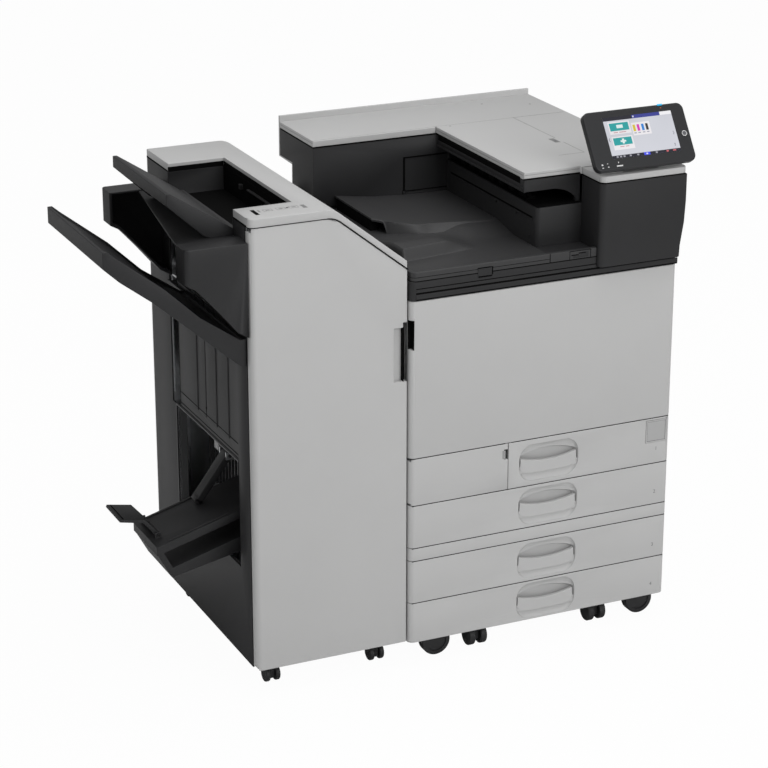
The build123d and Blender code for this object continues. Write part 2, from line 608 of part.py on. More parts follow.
def exit_housing():
    """Dark unit under the arm that sets the sheets down, open between its box and the ceiling."""
    z0 = Z_DECK + SHEET
    top = z0 + EXIT_H
    box = block(BAY_RIGHT, PLATE_RIGHT, EXIT_FRONT, BAY_BACK, z0, top)
    box = round_uprights(box, EXIT_R, EXIT_FRONT + 1, "left")
    box -= block(BAY_RIGHT + SKIN, PLATE_RIGHT - SKIN, EXIT_FRONT + SKIN, BAY_BACK - SKIN, z0 - 1, top - SKIN)
    web = block(PLATE_RIGHT - SKIN, PLATE_RIGHT, EXIT_FRONT, BAY_BACK, top - 1, Z_COVER)
    ceiling = block(ARM_LEFT, PLATE_RIGHT, ARM_FRONT, BAY_BACK, Z_COVER - SKIN, Z_COVER)
    strip = block(ARM_LEFT, ARM_LEFT + SKIN, ARM_FRONT, BAY_BACK, Z_COVER - ARM_LIP, Z_COVER)
    fascia = block(ARM_LEFT, CH_LEFT, ARM_FRONT, ARM_FRONT + SKIN, Z_COVER - FASCIA_H, Z_COVER)
    arch = Pos(CH_LEFT - ARCH_W, ARM_FRONT - 1, Z_COVER - FASCIA_H)
    fascia -= arch * extrude(Plane.XZ * Ellipse(ARCH_W - 1, ARCH_H - 2), -SKIN - 2)
    fascia -= block(ARM_LEFT - 1, CH_LEFT - ARCH_W, ARM_FRONT - 1, ARM_FRONT + SKIN + 1,
                    Z_COVER - FASCIA_H - 1, Z_COVER - FASCIA_H + ARCH_H - 2)
    return box + web + ceiling + strip + fascia


def top_cover():
    rear = block(0, BODY_W, BAY_BACK, UPPER_D - OVERHANG_IN, Z_COVER, Z_TOP)
    arm = block(ARM_LEFT, BODY_W, CH_BACK + SEAM, BAY_BACK + 1, Z_COVER, Z_TOP)
    arm -= block(ARM_LEFT - 1, CH_LEFT, 0, ARM_FRONT, Z_COVER - 1, Z_TOP + 1)
    cover = rear + arm
    hollow = block(SKIN, BODY_W - SKIN, BAY_BACK + SKIN, UPPER_D - OVERHANG_IN - SKIN, Z_COVER - 1, Z_TOP - SKIN)
    hollow += block(ARM_LEFT + SKIN, BODY_W - SKIN, ARM_FRONT + SKIN, BAY_BACK + SKIN + 1, Z_COVER - 1,
                    Z_TOP - SKIN)
    return cover - hollow


# ================================================================ copier: control housing, panel
def control_outline(z0):
    """Right side leans out from the waist to its upright upper part."""
    bulge = Z_COVER - CH_TAPER_H
    wide = BODY_W + CH_OVER
    return [(CH_LEFT, z0), (BODY_W - CH_WAIST, z0), (BODY_W - CH_WAIST + 1.2, z0 + 24),
            (wide - 2.5, bulge - 45), (wide, bulge), (wide, Z_COVER), (CH_LEFT, Z_COVER)]


def control_housing():
    z0 = Z_BAY - CH_SILL
    body = prism_y(control_outline(z0), CH_FRONT, CH_BACK)
    body = round_uprights(body, CORNER_R, CH_FRONT + 1, "left")
    hollow = block(CH_LEFT + SKIN, BODY_W - CH_WAIST - SKIN, CH_FRONT + SKIN, CH_BACK + 1, z0 + SKIN,
                   Z_COVER - SKIN)
    return body - round_uprights(hollow, CORNER_R - SKIN, CH_FRONT + SKIN + 1, "left")


def panel_base():
    x0 = CH_LEFT + 1
    x1 = BODY_W + CH_OVER + 0.5
    plate = block(x0, x1, CH_FRONT, CH_BACK, Z_COVER, Z_PANEL)
    plate = round_uprights(plate, CORNER_R, CH_FRONT + 1)
    z1 = Z_PANEL + PANEL_HINGE_Z + PIN_R + 3
    y0, y1 = PANEL_HINGE_Y - 7, PANEL_HINGE_Y + 14
    for a in (HINGE_X - EASE - HINGE_BLOCK_W, HINGE_X + HINGE_W + EASE):
        plate += block(a, a + HINGE_BLOCK_W, y0, y1, Z_PANEL - 1, z1)
    bore = rod_x(PIN_R + RUN, HINGE_X - PIN_L - 1, HINGE_X + HINGE_W + PIN_L + 1, PANEL_HINGE.Y,
                 PANEL_HINGE.Z)
    return plate - bore


def panel_frame():
    """Frame on the panel: x along its width, y up along its face, z out of its face."""
    centre = Location((PANEL_X + PANEL_W / 2, PANEL_HINGE.Y, PANEL_HINGE.Z))
    along = Pos(0, PANEL_H / 2 - PANEL_BELOW, 0)
    return centre * Rot(PANEL_TILT, 0, 0) * along


def panel_local(x, y, z):
    """Place on the panel, from its lower left corner and out from the hinge axis."""
    return panel_frame() * Pos(x - PANEL_W / 2, y - PANEL_H / 2, z)


def button_place(z):
    return panel_local(PANEL_W - BUTTON_X, PANEL_H * 0.47, z)


def operation_panel():
    mid = panel_frame() * Pos(0, 0, PANEL_STANDOFF + PANEL_T / 2)
    body = extrude(RectangleRounded(PANEL_W, PANEL_H, PANEL_R), PANEL_T / 2, both=True)
    rim = body.edges().filter_by(Plane.XY)
    body = mid * fillet(rim, 2.5)
    pocket = panel_local(SCREEN_X + SCREEN_W / 2, SCREEN_Z + SCREEN_H / 2, PANEL_FACE)
    body -= pocket * Box(SCREEN_W + 2 * RUN, SCREEN_H + 2 * RUN, 2 * SCREEN_T)
    body -= button_place(PANEL_FACE) * Cylinder(BUTTON_R + RUN, 2 * (BUTTON_T + BUTTON_TRAVEL + EASE))
    barrel = rod_x(PANEL_HINGE_R, HINGE_X, HINGE_X + HINGE_W, PANEL_HINGE.Y, PANEL_HINGE.Z)
    barrel += rod_x(PIN_R, HINGE_X - PIN_L, HINGE_X + HINGE_W + PIN_L, PANEL_HINGE.Y, PANEL_HINGE.Z)
    neck_x = HINGE_X + HINGE_W / 2 - PANEL_X
    neck = panel_local(neck_x, PANEL_BELOW, PANEL_STANDOFF / 2 + 0.5) * Box(HINGE_W - 20, 9, PANEL_STANDOFF + 1)
    return body + neck + barrel


def panel_screen():
    place = panel_local(SCREEN_X + SCREEN_W / 2, SCREEN_Z + SCREEN_H / 2, PANEL_FACE - SCREEN_T / 2)
    return place * Box(SCREEN_W, SCREEN_H, SCREEN_T)


def home_button():
    return button_place(PANEL_FACE + BUTTON_PROUD - BUTTON_T / 2) * Cylinder(BUTTON_R, BUTTON_T)


# ================================================================ copier: doors and trays
def front_door():
    z0, z1 = Z_DOOR + SEAM / 2, Z_TRIM - SEAM / 2
    door = block(0, BODY_W, 0, FRONT_T, z0, z1)
    door = round_uprights(door, CORNER_R, 1.0)
    rim = 14.0
    door -= block(rim, BODY_W - rim, SKIN, FRONT_T + 1, z0 + rim, z1 - rim)
    door -= block(-1, 8, -1, 13, Z_TRIM - 98.5, Z_TRIM - 38.5)
    door -= block(DOOR_PIVOT[0] - 9, BODY_W + 1, FRONT_T - 12, FRONT_T + 1, z0 - 1, z0 + TAB + 1)
    door -= bore_z(DOOR_PIVOT, z0 - 1, z0 + TAB + PIN_L + 1)
    return door - bore_z(DOOR_PIVOT, z1 - PIN_L - 1, z1 + 1)


def waste_toner_door():
    z0, z1 = tray_span(1)
    door = block(0, SIDE_DOOR_W - SEAM / 2, 0, FRONT_T, z0, z1)
    door = round_uprights(door, CORNER_R, 1.0, "left")
    door -= block(20, SIDE_DOOR_W - 8, SKIN, FRONT_T + 1, z0 + 8, z1 - 8)
    door -= block(SIDE_DOOR_W - 9, SIDE_DOOR_W + 1, -1, 6, z1 - 33, z1 - 12)
    for low, high, a, b in ((z0 - 1, Z_TRAY[1] + TAB + 1 + EASE, z0 - 1, z0 + TAB + PIN_L + 2),
                            (Z_DOOR - 5 - EASE, z1 + 1, z1 - PIN_L - 6, z1 + 1)):
        door -= block(-1, WASTE_PIVOT[0] + 7.5, WASTE_PIVOT[1] - 3.5, FRONT_T + 1, low, high)
        door -= bore_z(WASTE_PIVOT, a, b, SMALL_PIN_R)
    return door


def grip_recess(z_mid):
    """Rounded recess with a bar across it, dipped in the middle, that the fingers reach behind."""
    x_mid = GRIP_X + GRIP_W / 2
    outline = Plane.XZ * RectangleRounded(GRIP_W, GRIP_H, GRIP_R)
    recess = Pos(x_mid, 0, z_mid) * extrude(outline, -GRIP_DEPTH)
    y1 = GRIP_BAR_Y + GRIP_BAR_T
    low, high = z_mid - GRIP_BAR_LOW, z_mid + GRIP_BAR_END
    bar = block(GRIP_X - 1, GRIP_X + GRIP_W + 1, GRIP_BAR_Y, y1, low, high)
    sag_r = ((GRIP_W / 2) ** 2 + GRIP_BAR_SAG ** 2) / (2 * GRIP_BAR_SAG)
    bar -= rod_y(sag_r, x_mid, GRIP_BAR_Y - 1, y1 + 1, high - GRIP_BAR_SAG + sag_r)
    for x in (GRIP_X, GRIP_X + GRIP_W):
        bar -= block(x - GRIP_SLIT, x + GRIP_SLIT, GRIP_BAR_Y - 1, y1 + 1, z_mid - GRIP_SLIT_DOWN, high + 1)
    web = block(GRIP_X - 1, GRIP_X + GRIP_W + 1, y1 - 1, GRIP_DEPTH + 1, low, low + 4)
    return recess - bar - web


def tray(n):
    z0, z1 = tray_span(n)
    x0 = tray_left(n)
    front = block(x0, BODY_W, 0, FRONT_T, z0, z1)
    front = round_uprights(front, CORNER_R, 1.0, "right" if n == 1 else None)
    front -= grip_recess((z0 + z1) / 2 - 1)
    if n == 1:
        x1 = BODY_W - 9
        front -= block(x1 - LABEL_SIZE, x1, -1, 0.6, z1 - LABEL_SIZE - 4, z1 - 4)
    if n == 4:
        for x in CASTER_X:
            reach = TRAIL + WHEEL_R
            front -= block(x - reach + 6, x + reach - 6, 5, FRONT_T + 1, z0 - 1, BASE_Z + 4)
    bx0, bx1 = tray_box_x(n)
    bz0, bz1 = tray_box_z(n)
    back = FRAME_Y + TRAY_D
    box = block(bx0, bx1, FRONT_T, back, bz0, bz1)
    box -= block(bx0 + TRAY_WALL, bx1 - TRAY_WALL, FRONT_T + 0.5, back - TRAY_WALL, bz0 + TRAY_WALL, bz1 + 1)
    return front + box


def right_door():
    x0 = BODY_W - SIDE_DOOR_T
    door = block(x0, BODY_W, SIDE_DOOR_FRONT, SIDE_DOOR_BACK, SIDE_DOOR_Z0, SIDE_DOOR_Z1)
    y0 = (SIDE_DOOR_FRONT + SIDE_DOOR_BACK - BYPASS_W) / 2
    door -= block(BODY_W - BYPASS_T - 3, BODY_W + 1, y0 - SEAM, y0 + BYPASS_W + SEAM, BYPASS_Z - 2.5,
                  BYPASS_Z + BYPASS_H + SEAM)
    for y in (y0 - SEAM - PIN_L + 1, y0 + BYPASS_W + SEAM - 1):
        door -= rod_y(PIN_R + RUN, BODY_W - BYPASS_T / 2, y, y + PIN_L, BYPASS_Z + BYPASS_T / 2)
    grip_z = SIDE_DOOR_Z1 - SIDE_GRIP_DOWN
    door -= block(BODY_W - 10, BODY_W + 1, SIDE_DOOR_FRONT - 1, SIDE_DOOR_FRONT + 16, grip_z - SIDE_GRIP_H,
                  grip_z)
    door -= bore_z(SIDE_PIVOT, SIDE_DOOR_Z0 - 1, SIDE_DOOR_Z0 + PIN_L + 1)
    return door - bore_z(SIDE_PIVOT, SIDE_DOOR_Z1 - PIN_L - 1, SIDE_DOOR_Z1 + 1)


def bypass_tray():
    y0 = (SIDE_DOOR_FRONT + SIDE_DOOR_BACK - BYPASS_W) / 2
    tray_plate = block(BODY_W - BYPASS_T, BODY_W, y0, y0 + BYPASS_W, BYPASS_Z, BYPASS_Z + BYPASS_H)
    low = tray_plate.edges().filter_by(Axis.Y).sort_by(Axis.Z)[:2]
    tray_plate = fillet(low, BYPASS_T / 2 - 0.5)
    tray_plate -= block(BODY_W - 5, BODY_W + 1, y0 + BYPASS_W / 2 - 40, y0 + BYPASS_W / 2 + 40,
                        BYPASS_Z + BYPASS_H - 18, BYPASS_Z + BYPASS_H + 1)
    pins = rod_y(PIN_R, BODY_W - BYPASS_T / 2, y0 - SEAM - 6, y0 + BYPASS_W + SEAM + 6,
                 BYPASS_Z + BYPASS_T / 2)
    return tray_plate + pins


# ================================================================ copier: print engine
def toner_bottle(i):
    x = BOTTLE_X + i * BOTTLE_PITCH
    body = rod_y(BOTTLE_R, x, BOTTLE_FRONT, PLATE_BACK - EASE, BOTTLE_Z)
    for k in range(6):
        y = PLATE_FRONT + 50 + k * 50
        ring = rod_y(BOTTLE_R + 1, x, y, y + 8, BOTTLE_Z) - rod_y(BOTTLE_R - 2, x, y - 1, y + 9, BOTTLE_Z)
        body -= ring
    body += block(x - 22, x + 22, BOTTLE_FRONT - 4, BOTTLE_FRONT + 1, BOTTLE_Z - 4, BOTTLE_Z + 4)
    return body + rod_y(BOTTLE_STUB_R, x, PLATE_BACK - 2, PLATE_BACK + 8, BOTTLE_Z)


def roller(x, z, radius):
    """Roller between the engine plates with its shaft in their bores."""
    drum = rod_y(radius, x, PLATE_FRONT + SHEET + 1, PLATE_BACK - 1, z)
    return drum + rod_y(SHAFT_R, x, PLATE_FRONT - 2, PLATE_BACK + SHEET + 2, z)


def drum_units():
    return [roller(DRUM_X + i * DRUM_PITCH, DRUM_Z, DRUM_R) for i in range(4)]


def belt_loop(radius, y0, y1):
    """Solid with the belt's outline, round over the two rollers and flat between them."""
    x0, x1 = belt_x()
    z = belt_z()
    middle = block(x0, x1, y0, y1, z - radius, z + radius)
    return middle + rod_y(radius, x0, y0, y1, z) + rod_y(radius, x1, y0, y1, z)


def transfer_belt():
    y0, y1 = PLATE_FRONT + 20, PLATE_BACK - 20
    inner_r = BELT_ROLLER_R + EASE
    belt = belt_loop(inner_r + BELT_T, y0, y1) - belt_loop(inner_r, y0 - 1, y1 + 1)
    x0, x1 = belt_x()
    return belt, roller(x0, belt_z(), BELT_ROLLER_R), roller(x1, belt_z(), BELT_ROLLER_R)


def writing_unit():
    x0, x1 = belt_x()
    body = block(x0, x1, PLATE_FRONT + SHEET, PLATE_BACK, WRITER_Z, WRITER_Z + WRITER_H)
    for i in range(4):
        x = DRUM_X + i * DRUM_PITCH
        body -= block(x - 4, x + 4, PLATE_FRONT + 30, PLATE_BACK - 30, WRITER_Z + WRITER_H - 3,
                      WRITER_Z + WRITER_H + 1)
    return body


def fuser_roller(k):
    x, z = roller_centres()[2 + k]
    return roller(x, z, FUSER_R)


# ================================================================ casters
def caster_fork(x, y, trail, wheel_r, wheel_t, top, z_plate):
    """Swivel plate with a stem, a leg behind the wheel and a hood ahead of it."""
    plate = rod_z(16, x, y, z_plate, top)
    plate += block(x, x + trail + 9, y - 8, y + wheel_t / 2 + 5, z_plate, top)
    stem = rod_z(STEM_R, x, y, top - 0.01, top + 4.5)
    leg = block(x + trail - 9, x + trail + 9, y + wheel_t / 2 + 1, y + wheel_t / 2 + 5, wheel_r - 9, z_plate + 1)
    leg -= rod_y(AXLE_R + RUN, x + trail, y, y + wheel_t, wheel_r)
    hood_x = x + trail - wheel_r - 1.5
    hood = block(hood_x - 3, hood_x, y - 8, y + wheel_t / 2 + 5, wheel_r + 4, z_plate + 1)
    hood += block(hood_x - 3, x, y - 8, y + wheel_t / 2 + 5, z_plate, top)
    return plate + stem + leg + hood


def caster_wheel(x, y, radius, width):
    wheel = fillet(rod_y(radius, x, y - width / 2, y + width / 2, radius).edges(), 2.5)
    wheel -= rod_y(radius - 9, x, y - width / 2 - 1, y - width / 2 + 2, radius)
    return wheel + rod_y(AXLE_R, x, y, y + width / 2 + 6, radius)


def wheel_set(x, y, radius, width, tread):
    """Two narrow wheels on one axle along X."""
    axle = rod_x(PIN_R, x - width / 2 + 1, x + width / 2 - 1, y, radius)
    for side in (-1, 1):
        mid = x + side * (width - tread) / 2
        wheel = rod_x(radius, mid - tread / 2, mid + tread / 2, y, radius)
        axle += fillet(wheel.edges(), 3)
    return axle


def twin_bracket(x, y, radius, width, tread, top):
    gap = width - 2 * tread
    leg = block(x - gap / 2 + 1, x + gap / 2 - 1, y - 9, y + 9, radius - 8, top)
    hood = block(x - width / 2 + 2, x + width / 2 - 2, y - 14, y + 14, 2 * radius + 1.5, top)
    return leg + hood - rod_x(PIN_R + RUN, x - width, x + width, y, radius)


def side_bracket(x, y, radius, width, top):
    """Fixed caster: a leg on each side of a wheel that rolls along Y."""
    hood = block(x - width / 2 - 5, x + width / 2 + 5, y - 16, y + 16, 2 * radius + 1.5, top)
    for side in (-1, 1):
        a = x + side * (width / 2 + 3)
        hood += block(a - 2, a + 2, y - 9, y + 9, radius - 9, 2 * radius + 2)
    return hood - rod_x(AXLE_R + RUN, x - width, x + width, y, radius)


def rear_wheel(x):
    wheel = fillet(rod_x(WHEEL_R, x - WHEEL_T / 2, x + WHEEL_T / 2, REAR_CASTER_Y, WHEEL_R).edges(), 2.5)
    return wheel + rod_x(AXLE_R, x - WHEEL_T / 2 - 6, x + WHEEL_T / 2 + 6, REAR_CASTER_Y, WHEEL_R)


def caster_brackets():
    brackets = [side_bracket(x, REAR_CASTER_Y, WHEEL_R, WHEEL_T, BASE_Z) for x in REAR_CASTER_X]
    brackets += [twin_bracket(x, TWIN_Y, TWIN_R, TWIN_W, TWIN_WHEEL_T, BASE_Z) for x in TWIN_X]
    brackets += [twin_bracket(x, F_REAR_CASTER_Y, F_TWIN_R, F_TWIN_W, F_TWIN_WHEEL_T, F_BASE)
                 for x in F_CASTER_X]
    return brackets


def finisher_fork(x):
    gap = F_TWIN_W - 2 * F_TWIN_WHEEL_T
    y = F_CASTER_Y
    top = F_BASE - F_FORK_DROP
    plate = rod_z(14, x, y, 2 * F_TWIN_R + 1.5, top)
    plate += rod_z(STEM_R, x, y, top - 0.01, top + F_SHEET)
    leg = block(x - gap / 2 + 1, x + gap / 2 - 1, y - F_TRAIL - 8, y + 6, F_TWIN_R - 8, 2 * F_TWIN_R + 2)
    return plate + leg - rod_x(PIN_R + RUN, x - gap, x + gap, y - F_TRAIL, F_TWIN_R)


def finisher_rear_axle():
    sets = [wheel_set(x, F_REAR_CASTER_Y, F_TWIN_R, F_TWIN_W, F_TWIN_WHEEL_T) for x in F_CASTER_X]
    rod = rod_x(PIN_R, F_CASTER_X[0], F_CASTER_X[1], F_REAR_CASTER_Y, F_TWIN_R)
    return sets[0] + sets[1] + rod


# ================================================================ finisher
F_PIVOT = (F_LEFT + CORNER_IN[0], F_FRONT + CORNER_IN[1])
EXIT_ROLLER_X = F_LEFT + 13.0
EXIT_ROLLER_Z = LEFT_TOP + 22.0
EXIT_ROLLER_R = 9.0
RAIL_X = F_LEFT + 63.0          # rail that the stapler slides on
RAIL_Z = LEFT_TOP - 52.0
RAIL_R = 6.0
LIFT_X = F_LEFT + 14.0          # upright rod that the shift tray's carriage slides on
LIFT_Y = (SLOT_Y0 + SLOT_Y1) / 2
LIFT_R = 5.0
PARTITION_X = F_LEFT + 73.0     # inner wall behind the booklet opening
BOOK_SLOPE = 0.284
ARM_PIVOT = (F_LEFT + 27.0, 436.0)
ARM_DX = -64.0
ARM_DZ = -86.0
ARM_T = 14.0
FLAP_X = BOOK_X + 16.0
FLAP_Z = BOOK_Z + 10.5
FLAP_BARREL_R = 5.0


def finisher_body(inset, top, y0, y1):
    """Flat top, rounded bend and slanted right part, seen from the front, from y0 to y1."""
    x0, x1 = F_LEFT + inset, F_RIGHT - inset
    bend = F_RIGHT - F_SLANT_X
    outline = [(x0, F_BOTTOM + inset), (x1, F_BOTTOM + inset), (x1, F_SLANT_Z + top - F_TOP),
               (bend, top), (x0, top)]
    body = prism_y(outline, y0, y1)
    edge = body.edges().filter_by(Axis.Y).filter_by(
        lambda e: e.center().Z > top - 1 and e.center().X > F_LEFT + 60)
    return fillet(edge, F_BEND_R)


def finisher_frame():
    z1 = F_SEAM_Z - EASE
    y1 = F_BACK - F_SHEET
    x_in = F_LEFT + 2 * F_SHEET
    frame = finisher_body(F_SHEET, z1, F_FRAME_Y, y1)
    frame -= finisher_body(2 * F_SHEET, z1 - F_SHEET, F_FRAME_Y + F_SHEET, y1 - F_SHEET)
    frame -= block(F_LEFT + 30, F_RIGHT - 30, F_FRAME_Y - 1, F_FRAME_Y + F_SHEET + 1, F_BASE + 40, z1 - 150)
    frame -= block(F_LEFT, x_in + 1, OPEN_Y0, OPEN_Y1, OPEN_Z0, OPEN_Z1)
    frame -= block(F_LEFT, x_in + 1, SLOT_Y0, SLOT_Y1, SLOT_Z0, LEFT_TOP)
    frame -= block(F_LEFT, F_LEFT + CUT_X + SKIN, CUT_Y0 - SKIN, CUT_Y1 + SKIN, LEFT_TOP, z1 + 1)
    frame += block(PARTITION_X, PARTITION_X + F_SHEET, F_FRAME_Y, y1, F_BASE, OPEN_Z1 + 20)
    for y in (CUT_Y0 - SKIN - 2, CUT_Y1 + SKIN - 1):
        frame += block(F_LEFT + F_SHEET, EXIT_ROLLER_X + 14, y, y + F_SHEET, LEFT_TOP - 10, EXIT_ROLLER_Z + 14)
    frame -= rod_y(SHAFT_R + RUN, EXIT_ROLLER_X, F_FRAME_Y + F_SHEET, y1 - F_SHEET, EXIT_ROLLER_Z)
    frame += rod_y(RAIL_R, RAIL_X, F_FRAME_Y + 1, y1 - 1, RAIL_Z)
    frame += block(RAIL_X - 12, RAIL_X + 12, F_FRAME_Y, F_FRAME_Y + F_SHEET, F_BASE, RAIL_Z + 12)
    for y in (ARM_Y0 - 5, ARM_Y1 + 1):
        ear = block(ARM_PIVOT[0] - 9, PARTITION_X + 1, y, y + 4, ARM_PIVOT[1] - 8, ARM_PIVOT[1] + 8)
        frame += ear - rod_y(AXLE_R + RUN, ARM_PIVOT[0], y - 1, y + 5, ARM_PIVOT[1])
    for z in (SLOT_Z0 - 6, LEFT_TOP + 1):
        frame += block(F_LEFT + F_SHEET, LIFT_X + LIFT_R + 3, SLOT_Y0 - 2, SLOT_Y1, z, z + 4)
    frame += rod_z(LIFT_R, LIFT_X, LIFT_Y, SLOT_Z0 - 4, LEFT_TOP + 3)
    for rod in dock_rods(DOCK_R):
        frame += rod
    for x in F_CASTER_X:
        frame -= rod_z(STEM_R + RUN, x, F_CASTER_Y, F_BASE - 1, F_BASE + F_SHEET + 1)
    tab = (F_PIVOT[0] - 1.5, F_PIVOT[0] + 6, F_PIVOT[1] - 2, F_FRAME_Y + 1)
    frame += hinge_tab(*tab, F_BASE, F_PIVOT, True, SMALL_PIN_R)
    frame += hinge_tab(*tab, F_SEAM_Z - 8, F_PIVOT, False, SMALL_PIN_R)
    front_y = F_FRAME_Y + F_SHEET
    rear_y = y1 - F_SHEET
    return sheets(
        frame,
        block(F_RIGHT - 2 * F_SHEET, IN_L + 10, front_y, rear_y, 0, F_TOP),
        block(F_LEFT, x_in, F_FRAME_Y, y1, 0, F_TOP),
        block(x_in, F_RIGHT, F_FRAME_Y, front_y, 0, F_TOP),
        block(x_in, F_RIGHT, rear_y, y1, 0, F_TOP),
        block(x_in, F_RIGHT, front_y, rear_y, 0, F_BASE + F_SHEET),
        block(PARTITION_X, PARTITION_X + F_SHEET, front_y, rear_y, 0, OPEN_Z1 + 30))


def finisher_left_cover():
    x1 = F_LEFT + F_SHEET
    cover = block(F_LEFT, x1, F_FRAME_Y, F_BACK - F_SHEET, F_BOTTOM, F_SEAM_Z)
    cover -= block(F_LEFT - 1, x1 + 1, OPEN_Y0, OPEN_Y1, OPEN_Z0, OPEN_Z1)
    cover -= block(F_LEFT - 1, x1 + 1, CUT_Y0 - SKIN, CUT_Y1 + SKIN, LEFT_TOP, F_TOP)
    cover -= block(F_LEFT - 1, x1 + 1, SLOT_Y0, SLOT_Y1, SLOT_Z0, LEFT_TOP + 1)
    for y in GROOVE_Y:
        cover -= block(F_LEFT - 1, F_LEFT + F_SHEET / 2, y - 2, y + 2, OPEN_Z1 + GROOVE_UP, LEFT_TOP + 1)
    return cover


def finisher_rear_cover():
    return finisher_body(0, F_SEAM_Z, F_BACK - F_SHEET, F_BACK)


def finisher_top_cover():
    cover = finisher_body(0, F_TOP, F_FRONT, F_BACK) - finisher_body(0, F_SEAM_Z, F_FRONT - 1, F_BACK + 1)
    cover -= block(F_LEFT - 1, F_RIGHT + 1, F_FRONT - 1, F_BACK + 1, F_BOTTOM - 1, F_SLANT_Z - F_TOP_T - 1)
    cover = round_uprights(cover, CORNER_R, F_FRONT + 1, "left")
    return cover - block(F_LEFT - 1, F_LEFT + CUT_X, CUT_Y0, CUT_Y1, WELL_Z, F_TOP + 1)


def finisher_front_door():
    z1 = F_SEAM_Z - SEAM / 2
    door = finisher_body(0, z1, F_FRONT, F_FRONT + F_DOOR_T)
    door = round_uprights(door, CORNER_R, F_FRONT + 1, "left")
    door -= finisher_body(16, z1 - 16, F_FRONT + SKIN, F_FRONT + F_DOOR_T + 1)
    door += block(F_RIGHT - 40, F_RIGHT - 10, F_FRONT + 1, F_FRONT + F_DOOR_T, F_GRIP_Z0 - 12, F_GRIP_Z1 + 8)
    door -= block(F_RIGHT - 27.5, F_RIGHT - 6.5, F_FRONT - 1, F_FRONT + 10, F_GRIP_Z0 + 1, F_GRIP_Z1 - 10)
    door -= block(F_RIGHT - 8, F_RIGHT + 1, F_FRONT - 1, F_FRONT + 12, F_GRIP_Z0, F_GRIP_Z1)
    door -= block(F_LEFT - 1, F_PIVOT[0], F_PIVOT[1] + 12.5, F_FRONT + F_DOOR_T + 1, F_BOTTOM - 1, F_TOP)
    for low, high in ((F_BOTTOM - 1, F_BASE + TAB + EASE), (F_SEAM_Z - 8 - EASE, F_SEAM_Z + 1)):
        door -= block(F_LEFT - 1, F_PIVOT[0] + 7.5, F_PIVOT[1] - 3.5, F_FRONT + F_DOOR_T + 1, low, high)
    door -= bore_z(F_PIVOT, F_BOTTOM, F_BASE + TAB + PIN_L + 1, SMALL_PIN_R)
    return door - bore_z(F_PIVOT, F_SEAM_Z - 8 - PIN_L - 1, F_SEAM_Z, SMALL_PIN_R)


def wing(y0, y1, open_side):
    """Hollow side arm of the paper exit, open on the side that faces the trays."""
    under = [(WING_X + dx, WING_TOP - dz) for dx, dz in WING_LINE]
    outline = [(F_LEFT, WING_TOP), (WING_X, WING_TOP), *under, (F_LEFT, under[-1][1] - 2)]
    arm = prism_y(outline, y0, y1)
    edges = arm.edges().filter_by(Axis.Z).filter_by(lambda e: e.center().X < WING_X + 1)
    outer = edges.sort_by(Axis.Y)[:1] if open_side > 0 else edges.sort_by(Axis.Y)[-1:]
    arm = fillet(outer, 10)
    hollow = [(F_LEFT + 1, WING_TOP - 4), (WING_X + 6, WING_TOP - 4), (WING_X + 6, WING_TOP - 63),
              (WING_X + 24, WING_TOP - 74), (WING_X + 103, WING_TOP - 164), (F_LEFT + 1, WING_TOP - 176)]
    if open_side > 0:
        return arm - prism_y(hollow, y0 + 4, y1 + 1)
    return arm - prism_y(hollow, y0 - 1, y1 - 4)


def tray_shroud():
    """Dark moulding of the paper exit: two wings, the roof between them and the well."""
    front = wing(WING_Y0, WING_Y0 + WING_T, 1)
    front -= block(F_LEFT - 1.5, F_LEFT + 1, WING_Y0 - 1, F_FRAME_Y + EASE, WING_TOP - 190, WING_TOP + 1)
    rear = wing(WING_Y1, WING_Y1 + WING_T, -1)
    roof = [(F_LEFT, WING_Y0 + 30), (WING_X + 3, WING_Y0 + 30), (WING_X + 3, WING_Y0 + WING_T),
            (WING_X + 62, WING_Y1), (WING_X + 62, WING_Y1 + 20), (F_LEFT, WING_Y1 + 20)]
    top = prism_z(roof, WING_TOP - 8, WING_TOP - 4)
    x1 = F_LEFT + CUT_X
    well = block(F_LEFT - 1, x1 + SKIN, CUT_Y0 - SKIN, CUT_Y1 + SKIN, WELL_Z, F_SEAM_Z)
    well -= block(F_LEFT - 2, x1, CUT_Y0, CUT_Y1, WELL_Z + SKIN, F_SEAM_Z + 1)
    lip = block(F_LEFT - 1, F_LEFT + SKIN, CUT_Y0, CUT_Y1, WELL_Z, WING_TOP - 4)
    return front + rear + top + well + lip


def upper_tray():
    z0 = WING_TOP - 4
    x1 = F_LEFT - 1
    outline = [(PROOF_X, z0 + 71), (PROOF_X, z0 + 93), (PROOF_X + 8, z0 + 93), (x1, z0 + 13), (x1, z0),
               (PROOF_X + 84, z0), (PROOF_X + 70, z0 + 6)]
    tray_body = prism_y(outline, PROOF_Y0, PROOF_Y1)
    under = [(PROOF_X + 5, z0 + 60), (PROOF_X + 5, z0 + 86), (x1 - 15, z0 + 13), (x1 - 22, z0 - 1),
             (PROOF_X + 60, z0 - 1)]
    tray_body -= prism_y(under, PROOF_Y0 + 5, PROOF_Y1 - 5)
    return tray_body + block(x1 - 4, F_LEFT + 10, CUT_Y0 + 4, PROOF_Y1 - 4, z0, z0 + 10)


